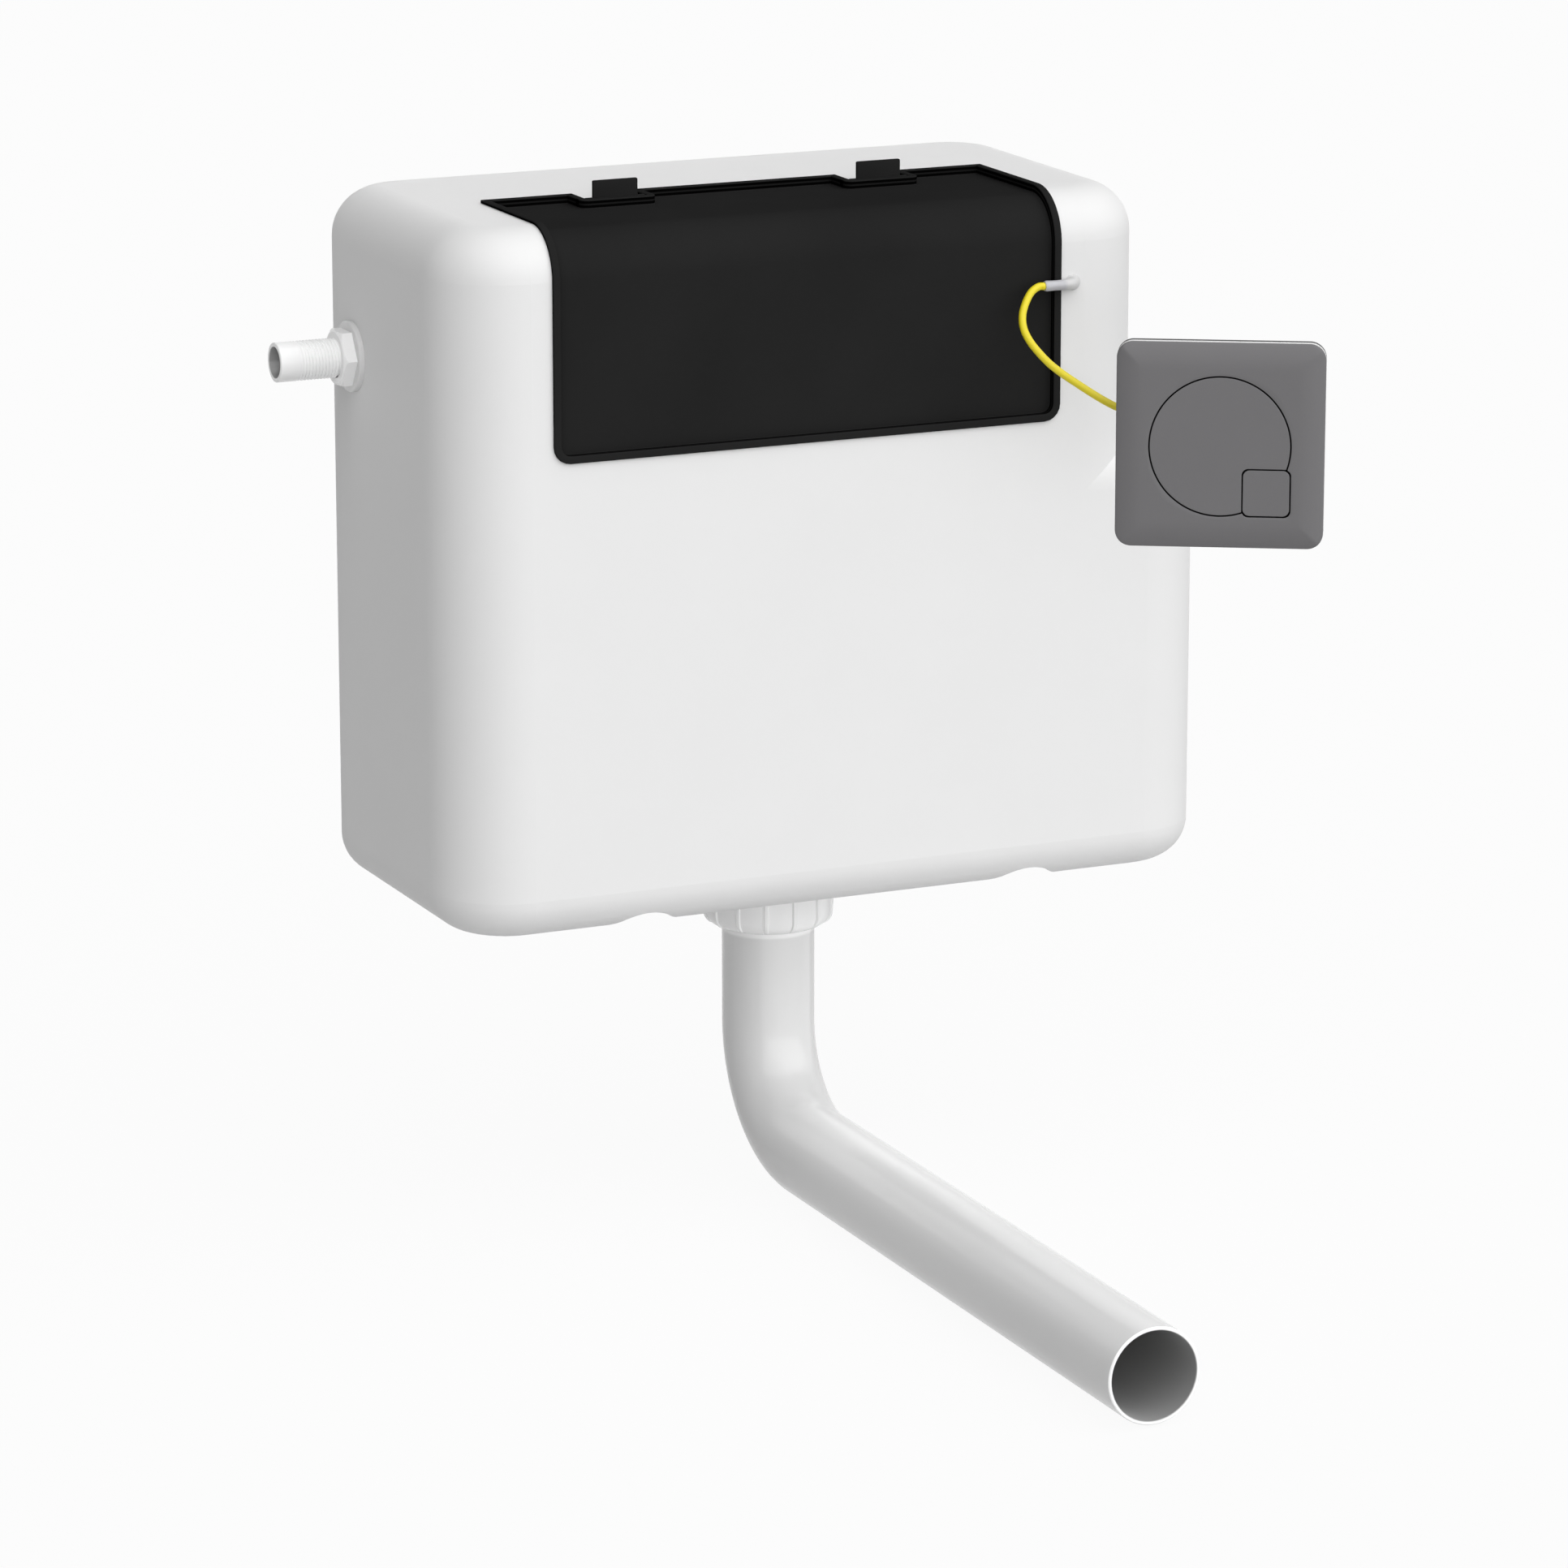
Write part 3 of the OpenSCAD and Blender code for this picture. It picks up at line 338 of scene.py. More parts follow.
@dataclass(frozen=True)
class PipeFinish(Finish):
    """A drawn pipe: pale outside, with painted shade that greys its bores, a painted highlight that whitens
    its cut end, and painted light that brightens its fittings.
    """

    leg_z: float = -0.4765
    leg_y: float = -0.168
    leg_blend: float = 0.01
    bore: float = 0.0233
    bore_soft: float = 0.0003
    # Painted shade: grey inside the leg's bore and the inlet's bore.
    bore_painted_shade: Colour = grey(0.3)
    bore_dull: float = 0.75
    end_y: float = -0.5610
    end_soft: float = 0.0001
    # Painted highlight: the leg's cut end is drawn near white.
    end_painted_highlight: Colour = grey(0.97)
    fitting_z: float = -0.365
    # Painted light: everything of this finish from the coupling nut's foot up, the inlet's tail and nut among
    # it, is drawn brighter to lift the shade the tank casts on it.
    fitting_blend: float = 0.002
    fitting_painted_light: Colour = grey(0.94)
    inlet: Span = (-0.062, -0.044)
    inlet_bore: float = 0.0083
    inlet_low: Span = (-0.1, -0.09)
    tail_radius: float = 0.0108
    washer_x: float = -0.2207
    washer_soft: float = 0.0002
    washer_colour: Colour = grey(0.7)

    def outside(self, across: Wire, up: Wire, radius: float) -> Wire:
        """1 outside a circle, 0 inside it."""
        return (across * across + up * up).root().over(radius, self.bore_soft)

    def hollow(self, shader: Shader) -> Wire:
        """1 in the leg's bore, 0 elsewhere."""
        x, y, z = shader.axes()
        ahead = 1.0 - y.step(self.leg_y - self.leg_blend, self.leg_y)
        return (1.0 - self.outside(x, z - self.leg_z, self.bore)) * ahead

    def gloss(self, shader: Shader) -> Wire:
        """The pipe's gloss, lost in the leg's bore."""
        return super().gloss(shader) + self.bore_dull * self.hollow(shader)

    def tint(self, shader: Shader) -> Socket:
        """The plain colour, changed by place: white on the cut end as a painted highlight, brighter on the
        fittings and the inlet's tail as painted light, grey on the inlet's washer, and grey in the bores as
        painted shade.
        """
        x, y, z = shader.axes()
        # Painted highlight on the cut end.
        pale = shader.mix(y.over(self.end_y, self.end_soft), self.end_painted_highlight, super().tint(shader))
        # Painted light: brighter from the coupling nut's foot up.
        painted_light_on_fittings = z.step(self.fitting_z - self.fitting_blend, self.fitting_z)
        pale = shader.mix(painted_light_on_fittings, pale, self.fitting_painted_light)
        across, up = y - self.inlet[0], z - self.inlet[1]
        washer = self.outside(across, up, self.tail_radius) * x.over(self.washer_x, self.washer_soft)
        pale = shader.mix(washer * z.step(*self.inlet_low), pale, self.washer_colour)
        # Painted shade in the inlet's bore.
        pale = shader.mix(self.outside(across, up, self.inlet_bore), self.bore_painted_shade, pale)
        # Painted shade in the leg's bore.
        return shader.mix(self.hollow(shader), pale, self.bore_painted_shade)


@dataclass(frozen=True)
class SleeveFinish(Finish):
    """A translucent sleeve: pale grey, and paler at its root to meet the tank, though kept darker than the
    tank's white as painted shade against the light on the root's upturned faces.
    """

    root_x: float = 0.1235
    root_blend: float = 0.003
    # Paler than the sleeve to meet the tank, darker than the tank as painted shade.
    root_tone_and_painted_shade: Colour = grey(0.57)

    def tint(self, shader: Shader) -> Socket:
        """The plain colour, turned to the root's colour past the cover's edge; that colour holds painted
        shade.
        """
        root = shader.axes()[0].step(self.root_x - self.root_blend, self.root_x)
        return shader.mix(root, super().tint(shader), self.root_tone_and_painted_shade)


@dataclass(frozen=True)
class PlateFinish(Finish):
    """A satin lacquer with fine pale flecks in it, and a painted highlight drawn on the plate's side walls.
    """

    centre: Point = (0.162, -0.310, -0.078)
    inwards: Point = (0.5, 0.866, 0.0)
    fleck_share: float = 0.45
    fleck_size: float = 0.7
    wall: float = 0.004
    wall_soft: float = 0.0002
    # Painted highlight: the side walls behind the border are drawn near white.
    painted_wall_shading: Colour = grey(0.86)
    opening: float = 0.0385
    opening_blend: float = 0.0003
    gap_depth: Span = (0.00002, 0.00005)
    # Painted shade: the gaps round the buttons are drawn black.
    gap_painted_shade: Colour = grey(0.003)

    def shade(self, shader: Shader) -> Wire:
        """Broad clouds, broken by small flecks."""
        flecks = shader.noise(self.fleck_size * self.grain_mm, 0.0)
        return (1.0 - self.fleck_share) * shader.noise(self.cloud_mm) + self.fleck_share * flecks

    def tint(self, shader: Shader) -> Socket:
        """The flecked colour, with the gaps round the buttons drawn black as painted shade, and the side
        walls behind the border drawn bright as a painted highlight.
        """
        x, y, z = shader.axes()
        right, back = x - self.centre[0], y - self.centre[1]
        depth = self.inwards[0] * right + self.inwards[1] * back
        across = self.inwards[1] * right - self.inwards[0] * back
        away = across.size().most((z - self.centre[2]).size())
        border = away.step(self.opening, self.opening + self.opening_blend)
        # Painted shade in the gaps round the buttons.
        gap = (1.0 - border) * depth.step(*self.gap_depth)
        face = shader.mix(gap, super().tint(shader), self.gap_painted_shade)
        # Painted highlight on the side walls behind the border.
        return shader.mix(border * depth.over(self.wall, self.wall_soft), face, self.painted_wall_shading)


class Finishes(Enum):
    """The finishes of the object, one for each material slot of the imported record."""

    TANK = Finish("tank_white", grey(0.79), roughness=0.5, grain_mm=2.2, grain_depth_mm=0.01,
                  specular=0.15)
    PIPE = PipeFinish("pipe_white", grey(0.745), roughness=0.2, grain_mm=1.5, grain_depth_mm=0.002,
                      stretch=(1.0, 0.12, 1.0), specular=0.4)
    COVER = CoverFinish("cover_black", grey(0.021), fade=0.25, roughness=0.6, grain_mm=0.55,
                        grain_depth_mm=0.01, specular=0.0)
    PLATE = PlateFinish("plate_grey", (0.18, 0.177, 0.182), fade=0.12, roughness=0.5, grain_mm=0.5,
                        grain_depth_mm=0.002, specular=0.1, metallic=0.1)
    FRAME = ErodedFinish("frame_grey", (0.03, 0.03, 0.031), fade=0.2, roughness=0.55, grain_mm=0.6,
                         grain_depth_mm=0.012, specular=0.25)
    SHEATH = Finish("cable_yellow", (0.82, 0.69, 0.02), fade=0.1, cloud_mm=12.0, roughness=0.34,
                    grain_mm=0.9, grain_depth_mm=0.01, specular=0.35)
    SLEEVE = SleeveFinish("sleeve_grey", (0.5, 0.5, 0.53), fade=0.12, cloud_mm=6.0, roughness=0.32,
                          grain_mm=0.9)
    VALVE = Finish("valve_blue", (0.11, 0.24, 0.40), fade=0.12, cloud_mm=25.0, grain_mm=0.9,
                   grain_depth_mm=0.008)
    RUBBER = ErodedFinish("seal_rubber", (0.022, 0.022, 0.023), fade=0.4, cloud_mm=9.0, roughness=0.72,
                          grain_mm=0.5, grain_depth_mm=0.02, specular=0.3)
    STEEL = Finish("pin_steel", (0.56, 0.56, 0.58), fade=0.18, cloud_mm=5.0, roughness=0.3,
                   rough_swing=0.16, grain_mm=0.25, grain_depth_mm=0.003, stretch=(0.15, 1.0, 1.0),
                   metallic=1.0)


# Outlines: closed loops of points (n, 2), anticlockwise


def rounded(corners: Sequence[Sequence[float]], radii: Union[float, Sequence[float]],
            steps: int = 7) -> Array:
    """Polygon whose corners are arcs.

    Each corner's arc touches both of its edges: it starts r / tan(half the corner's angle) before the corner,
    and turns evenly about a centre on the corner's bisector.

    Args:
        corners: The polygon's corners in order.
        radii: Radius of each corner, or one for all.
        steps: Points on each arc.

    Returns:
        The outline's points.
    """
    tip = np.array(corners, float)
    radius = np.broadcast_to(np.array(radii, float), len(tip))[:, None]
    back = np.roll(tip, 1, 0) - tip
    ahead = np.roll(tip, -1, 0) - tip
    back /= np.linalg.norm(back, axis=1, keepdims=True)
    ahead /= np.linalg.norm(ahead, axis=1, keepdims=True)
    angle = np.arccos(np.clip((back * ahead).sum(1, keepdims=True), -1, 1))
    middle = back + ahead
    centre = tip + middle / np.linalg.norm(middle, axis=1, keepdims=True) * radius / np.sin(angle / 2)
    start = tip + back * radius / np.tan(angle / 2) - centre
    end = tip + ahead * radius / np.tan(angle / 2) - centre
    turn = (math.pi - angle)[:, None]
    share = np.linspace(0, 1, steps)[None, :, None]
    arc = (np.sin((1 - share) * turn) * start[:, None] + np.sin(share * turn) * end[:, None]) / np.sin(turn)
    return (centre[:, None] + arc).reshape(-1, 2)


def soft_box(x0: float, y0: float, x1: float, y1: float, radii: Union[float, Sequence[float]],
             steps: int = 7) -> Array:
    """Rectangle with rounded corners, from the lower left one round to the upper left one."""
    return rounded([(x0, y0), (x1, y0), (x1, y1), (x0, y1)], radii, steps)


def refined(outline: Array, spacing: float) -> Array:
    """Outline with every edge cut into equal parts no longer than `spacing`."""
    edge = np.roll(outline, -1, 0) - outline
    parts = np.maximum(np.ceil(np.linalg.norm(edge, axis=1) / spacing).astype(int), 1)
    which = np.repeat(np.arange(len(outline)), parts)
    first = np.repeat(np.cumsum(parts) - parts, parts)
    share = (np.arange(len(which)) - first) / parts[which]
    return outline[which] + share[:, None] * edge[which]


def inset(outline: Array, distance: float) -> Array:
    """Outline moved inwards: each point along its edges' mean normal, over the cosine of half the turn."""
    edge = np.roll(outline, -1, 0) - outline
    normal = np.stack([-edge[:, 1], edge[:, 0]], 1) / np.linalg.norm(edge, axis=1, keepdims=True)
    mean = normal + np.roll(normal, 1, 0)
    return outline + distance * 2 * mean / (mean * mean).sum(1, keepdims=True)


def arc_profile(points: Sequence[tuple[float, float, float]], steps: int = 4) -> Array:
    """Closed profile (n, 2) from corners given as (first, second, radius)."""
    data = np.array(points, float)
    return rounded(data[:, :2], np.maximum(data[:, 2], 0.01), steps)


# Surfaces


@dataclass
class Shell:
    """Points (n, 3) in millimetres, and sets of faces (m, corners), of one or more closed surfaces."""

    points: Array
    faces: list[Array]

    def __add__(self, other: "Shell") -> "Shell":
        """Both surfaces as one mesh."""
        shift = len(self.points)
        return Shell(np.concatenate([self.points, other.points]),
                     self.faces + [part + shift for part in other.faces])

    def volume(self) -> float:
        """Signed volume: the sum of the tetrahedra from the origin to a fan of triangles on each face."""
        fan = np.concatenate([
            np.stack(np.broadcast_arrays(part[:, :1], part[:, 1:-1], part[:, 2:]), -1).reshape(-1, 3)
            for part in self.faces])
        a, b, c = (self.points[fan[:, k]] for k in range(3))
        return float((a * np.cross(b, c)).sum() / 6)

    def outward(self) -> "Shell":
        """The same surface with its faces pointing outwards."""
        if self.volume() < 0:
            self.faces = [part[:, ::-1] for part in self.faces]
        return self


def skin(rings: Array, looped: bool = False) -> Shell:
    """Closed surface through a stack of closed sections.

    Quad (i, j) joins points j and j + 1 of sections i and i + 1. A looped stack joins its last section to its
    first, and any other stack is shut by one flat face at each end.

    Args:
        rings: Sections (rows, columns, 3).
        looped: Whether the stack closes on itself.

    Returns:
        The surface, pointing outwards.
    """
    rows, columns = rings.shape[:2]
    i = np.arange(rows if looped else rows - 1)[:, None]
    j = np.arange(columns)[None, :]
    after = (j + 1) % columns
    above = (i + 1) % rows * columns
    quads = np.stack([i * columns + j, i * columns + after, above + after, above + j], -1)
    faces = [quads.reshape(-1, 4)]
    if not looped:
        faces += [np.arange(columns)[None, ::-1], np.arange((rows - 1) * columns, rows * columns)[None]]
    return Shell(rings.reshape(-1, 3), faces).outward()


def block(top: Array, bottom: Array, keep: Array) -> Shell:
    """Sheet of some thickness over the kept cells of a grid.

    The kept cells of the upper and the lower grid are joined by a wall along every edge between a kept cell
    and one that isn't kept.

    Args:
        top: Upper points (rows, columns, 3).
        bottom: Lower points, the same shape.
        keep: Kept cells (rows - 1, columns - 1).

    Returns:
        The closed surface, pointing outwards.
    """
    rows, columns = top.shape[:2]
    below = rows * columns
    number = np.arange(below).reshape(rows, columns)
    cells = np.stack([number[:-1, :-1], number[:-1, 1:], number[1:, 1:], number[1:, :-1]], -1)[keep]
    framed = np.pad(keep, 1)
    faces = [cells, cells[:, ::-1] + below]
    for start, end, inner, outer in (
        (number[:, :-1], number[:, 1:], framed[1:, 1:-1], framed[:-1, 1:-1]),
        (number[1:, 1:], number[1:, :-1], framed[1:-1, 1:-1], framed[2:, 1:-1]),
        (number[1:, :], number[:-1, :], framed[1:-1, 1:], framed[1:-1, :-1]),
        (number[:-1, 1:], number[1:, 1:], framed[1:-1, 1:-1], framed[1:-1, 2:]),
    ):
        side = inner & ~outer
        start, end = start[side], end[side]
        faces.append(np.stack([end, start, start + below, end + below], -1))
    return Shell(np.concatenate([top.reshape(-1, 3), bottom.reshape(-1, 3)]), faces).outward()


def full_turn(sides: int) -> Array:
    """Even angles round a full turn."""
    return np.linspace(0, 2 * math.pi, sides, endpoint=False)


def xyz(x: Any, y: Any, z: Any) -> Array:
    """Points (..., 3) from three coordinates that are spread to one shape."""
    return np.stack(np.broadcast_arrays(x, y, z), -1)


def turned(profile: Array, sides: int = 64) -> Array:
    """Sections of a turned part: profile point (r, z) carried round Z as (r cos a, r sin a, z)."""
    angle = full_turn(sides)
    return xyz(profile[:, :1] * np.cos(angle), profile[:, :1] * np.sin(angle), profile[:, 1:])


def drawn(outline: Array, along: Array, taken_in: Array) -> Array:
    """Sections of a bar: an outline carried along X, moved inwards by a distance of its own at each place."""
    loops = np.stack([inset(outline, distance) for distance in taken_in])
    return xyz(along[:, None], loops[..., 0], loops[..., 1])


def swept(line: Array, radius: Array, upright: Point, sides: int = 32) -> Array:
    """Sections of a tube: circles about a line, square to it.

    The first axis of a section is the part of `upright` that is square to the line, and the second is square
    to both.

    Args:
        line: Points of the line (n, 3).
        radius: Radius at each point.
        upright: A direction that the line never takes.
        sides: Points on a circle.

    Returns:
        The sections (n, sides, 3).
    """
    ahead = np.gradient(line, axis=0)
    ahead /= np.linalg.norm(ahead, axis=1, keepdims=True)
    first = np.array(upright) - (ahead @ np.array(upright))[:, None] * ahead
    first /= np.linalg.norm(first, axis=1, keepdims=True)
    second = np.cross(ahead, first)
    angle = full_turn(sides)[None, :, None]
    return line[:, None] + np.asarray(radius)[:, None, None] * (
        np.cos(angle) * first[:, None] + np.sin(angle) * second[:, None])


def smooth_line(points: Array, steps: int) -> Array:
    """Curve through points: cubic spans whose slope at a point is half the step between its neighbours."""
    slope = np.gradient(points, axis=0)
    t = np.linspace(0, 1, steps, endpoint=False)[None, :, None]
    a, b, ma, mb = points[:-1, None], points[1:, None], slope[:-1, None], slope[1:, None]
    curve = ((2 * t**3 - 3 * t**2 + 1) * a + (t**3 - 2 * t**2 + t) * ma
             + (-2 * t**3 + 3 * t**2) * b + (t**3 - t**2) * mb)
    return np.concatenate([curve.reshape(-1, 3), points[-1:]])


def to_row(points: Array) -> Array:
    """Millimetres from the tank's base in the row frame's metres."""
    return (np.asarray(points, float) - np.array([0.0, 0.0, FIXING_HEIGHT])) * 0.001


@dataclass(frozen=True)
class Piece:
    """A new piece: its name, its body, its finish and the nodes that it stands for."""

    name: str
    body: Body
    finish: Finishes
    stands_for: tuple[str, ...] = ()
    crease_deg: float = 34.0

    def build(self, shell: Shell) -> Thing:
        """Makes the object and ties it to the frame.

        Args:
            shell: Its surface in millimetres.

        Returns:
            The object, at the origin.
        """
        mesh = bpy.data.meshes.new(self.name)
        mesh.from_pydata(to_row(shell.points).tolist(), [], sum((part.tolist() for part in shell.faces), []))
        mesh.polygons.foreach_set("use_smooth", np.ones(len(mesh.polygons), bool))
        mesh.set_sharp_from_angle(angle=math.radians(self.crease_deg))
        mesh.materials.append(self.finish.value.material())
        made = bpy.data.objects.new(self.name, mesh)
        bpy.context.scene.collection.objects.link(made)
        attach(made, self.body.value)
        if self.stands_for:
            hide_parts(*self.stands_for)
        LOG.info("%s: %d faces on %s", self.name, len(mesh.polygons), self.body.value)
        return made


# Sub-assemblies


@dataclass
class FlushCable:
    """The yellow cable from the sleeve beside the cover to the ferrule behind the push plate."""

    radius: float = 2.0
    upright: Point = (0.3, 0.9, 0.6)
    route: tuple[Point, ...] = (
        (110.2, -211.2, 323), (106.8, -211.2, 323), (102, -212.4, 320.6), (97.6, -214.8, 315.6),
        (94.4, -217.8, 310), (93.5, -221, 303.8), (95.3, -224.2, 297.8), (98.8, -227.7, 292),
        (103.4, -231.7, 286.2), (109, -235.7, 281.1), (115, -240.2, 276.4), (121, -245.2, 271.8),
        (126.4, -250, 268), (131.735, -254.421, 265), (135.199, -256.421, 265),
    )

    def build(self) -> Thing:
        line = smooth_line(np.array(self.route, float), 8)
        rings = swept(line, np.full(len(line), self.radius), self.upright, 20)
        made = Piece("flush_cable_sheath", Body.CISTERN, Finishes.SHEATH, ("flush_cable",)).build(skin(rings))
        path = to_row(line)
        return made


@dataclass
class AccessCover:
    """The black cover that wraps over the tank's top front edge, and its two latches."""

    left: float = -164.0
    right: float = 122.0
    rear: float = 110.0
    low: float = 250.5
    tank_top: float = 370.0
    tank_depth: float = 206.0
    edge_radius: float = 26.0
    corner_radius: float = 9.0
    tip_radius: float = 0.6
    notch_radius: float = 0.4
    spacing: float = 2.5
    rim: float = 4.0
    rim_top: float = 1.8
    rim_foot: float = 0.2
    panel_top: float = -2.8
    panel_foot: float = -4.4
    lap: float = 0.45
    tray: float = 2.4
    border: Point = (3.2, 9.3, 0.75)
    margin: float = 12.0
    seat: float = 0.1
    latch_x: Span = (-96.0, 54.0)
    notch_width: float = 34.0
    notch_length: float = 19.8
    notch_border: float = 3.4
    pin_height: float = 369.6
    pin_y: float = -127.0
    barrel_radius: float = 2.2
    pin_radius: float = 1.1

    @property
    def flat(self) -> float:
        """Length of the cover's flat top, from its rear edge to the bend."""
        return self.tank_depth - self.edge_radius - self.rear

    @property
    def bend(self) -> float:
        """Length of the bend along the tank's skin."""
        return self.edge_radius * math.pi / 2

    @property
    def length(self) -> float:
        """Length of the cover along the tank's skin, from its rear edge to its lower edge."""
        return self.flat + self.bend + self.tank_top - self.edge_radius - self.low

    def wrap(self, flat_points: Array, height: float) -> Array:
        """Carries points (x, s) onto the tank's skin.

        The distance s runs along the flat top, turns through s / r round the edge, and goes on down the
        front; the height is added square to the skin.

        Args:
            flat_points: Points (..., 2).
            height: Distance above the skin.

        Returns:
            Points (..., 3).
        """
        x, s = flat_points[..., 0], flat_points[..., 1]
        turn = np.clip((s - self.flat) / self.edge_radius, 0, math.pi / 2)
        down = np.maximum(s - self.flat - self.bend, 0)
        reach = self.edge_radius + height
        return xyz(x, -self.rear - np.minimum(s, self.flat) - reach * np.sin(turn),
                   self.tank_top - self.edge_radius + reach * np.cos(turn) - down)

    def outline(self) -> Array:
        """The cover's edge, laid flat: a rear edge with two notches, two sides and a round-cornered front."""
        tips, radii = [(self.left, 0.0)], [self.tip_radius]
        half, deep = self.notch_width / 2, self.notch_length
        for x in self.latch_x:
            tips += [(x - half, 0.0), (x - half, deep), (x + half, deep), (x + half, 0.0)]
            radii += [self.tip_radius, self.notch_radius, self.notch_radius, self.tip_radius]
        tips += [(self.right, 0.0), (self.right, self.length), (self.left, self.length)]
        radii += [self.tip_radius, self.corner_radius, self.corner_radius]
        return refined(rounded(tips, radii, 6), self.spacing)

    def rim_shell(self) -> Shell:
        """The rim and the tray's wall: one closed profile carried round the cover's edge."""
        inner = self.rim + self.lap
        profile = arc_profile((
            (0.0, self.rim_foot, 0.1), (self.tray, self.rim_foot, 0.2), (self.tray, self.panel_foot, 0.4),
            (inner, self.panel_foot, 0.05), (inner, self.panel_top, 0.02), (self.rim, self.panel_top, 0.4),
            (self.rim, self.rim_top, 0.45), (0.0, self.rim_top, 0.5),
        ))
        edge = self.outline()
        return skin(np.stack([self.wrap(inset(edge, t), h) for t, h in profile]), looped=True)

    def panel_shell(self) -> Shell:
        """The recessed panel: a sheet in the tray's wall, without the notches and the cells past a corner."""
        border = np.append(np.arange(*self.border), self.margin)
        half, deep = self.notch_width / 2 + self.notch_border, self.notch_length + self.notch_border
        x = np.unique(np.concatenate([
            self.left + border, self.right - border,
            [centre + side * half for centre in self.latch_x for side in (-1, 1)],
            np.linspace(self.left + self.margin, self.right - self.margin, 28),
        ]))
        s = np.unique(np.concatenate([
            border, [deep], np.linspace(self.margin, self.flat, 6),
            self.flat + np.linspace(0, self.bend, 25),
            np.linspace(self.flat + self.bend, self.length - self.margin, 8), self.length - border,
        ]))
        points = np.stack(np.meshgrid(x, s, indexing="ij"), -1)
        middle = (points[1:, 1:] + points[:-1, :-1]) / 2
        keep = np.ones(middle.shape[:2], bool)
        for centre in self.latch_x:
            keep &= ~((abs(middle[..., 0] - centre) < half) & (middle[..., 1] < deep))
        corner = self.corner_radius
        for side, sign in ((self.left, 1), (self.right, -1)):
            near = np.array([side + sign * corner, self.length - corner])
            far = np.maximum(abs(points[1:, 1:] - near), abs(points[:-1, :-1] - near))
            beyond = ((middle - near) * np.array([-sign, 1]) > 0).all(-1)
            keep &= ~(beyond & (np.hypot(far[..., 0], far[..., 1]) > corner - self.tray - self.seat))
        return block(self.wrap(points, self.panel_top), self.wrap(points, self.panel_foot + self.seat), keep)

    def ear_shell(self, x: float) -> Shell:
        """One ear of a latch under the rim: a block with a round foot, drawn out along X."""
        r = self.barrel_radius
        outer = soft_box(-r, -r, r, r - 0.05, (r - 0.2, r - 0.2, 0.1, 0.1), 9)
        along = np.array([-2.0, -1.93, -1.75, 1.75, 1.93, 2.0])
        ease = np.array([0.25, 0.07, 0.0, 0.0, 0.07, 0.25])
        return skin(drawn(outer, along, ease) + np.array([x, self.pin_y, self.pin_height]))

    def build(self) -> list[Thing]:
        """The cover, and then its two latches."""
        shell = self.rim_shell() + self.panel_shell()
        for x in self.latch_x:
            for side in (-1, 1):
                shell = shell + self.ear_shell(x + side * (self.notch_width + self.rim) / 2)
        cover = Piece("cover_shell", Body.COVER, Finishes.COVER, ("access_cover",)).build(shell)
        bodies = (Body.LEFT_LATCH, Body.RIGHT_LATCH)
        return [cover, *(Latch(x, self).build(body) for x, body in zip(self.latch_x, bodies))]


@dataclass
class Latch:
    """A rocking latch: a barrel on the pin, a finger tab above it and a barbed hook below."""

    x: float
    cover: AccessCover
    tab_width: float = 25.0
    tab_height: float = 11.0
    thickness: float = 2.0
    ease: Span = (0.35, 0.1)
    hook_width: float = 21.0
    hook_foot: float = -8.6
    hook_ease: float = 0.6
    barb: float = 0.8
    barb_rise: Span = (2.2, 3.0)
    barrel_width: float = 33.2
    pin_gap: float = 0.05

    def build(self, body: Body) -> Thing:
        """Joins the barrel, the tab and the hook.

        Args:
            body: The latch's body.

        Returns:
            The latch.
        """
        half, wide, foot = self.thickness / 2, self.tab_width / 2, self.hook_foot
        deep, slight = self.ease
        ends = np.array([deep, slight, 0.0, 0.0, slight, deep])
        tab = drawn(soft_box(-wide, 0.0, wide, self.tab_height, (0.2, 0.2, 0.8, 0.8)),
                    np.array([-half, slight - half, deep - half, half - deep, half - slight, half]), ends)
        side = rounded([
            (-half, 0.0), (-half, foot), (half, foot), (half + self.barb, foot + self.barb_rise[0]),
            (half, foot + self.barb_rise[1]), (half, 0.0),
        ], 0.15, 4)
        hook = drawn(side, self.hook_width / 2 * np.array([-1, -0.99, -0.965, 0.965, 0.99, 1]),
                     self.hook_ease * ends)
        r, bore, end = self.cover.barrel_radius, self.cover.pin_radius + self.pin_gap, self.barrel_width / 2
        barrel = turned(arc_profile(((bore, -end, 0.1), (r, -end, 0.3), (r, end, 0.3), (bore, end, 0.1))), 32)
        place = np.array([self.x, self.cover.pin_y, self.cover.pin_height])
        shell = skin(tab[..., [1, 0, 2]] + place) + skin(hook + place)
        shell = shell + skin(barrel[..., [2, 0, 1]] + place, looped=True)
        return Piece(f"{body.value}_lever", body, Finishes.COVER, (body.value,)).build(shell)


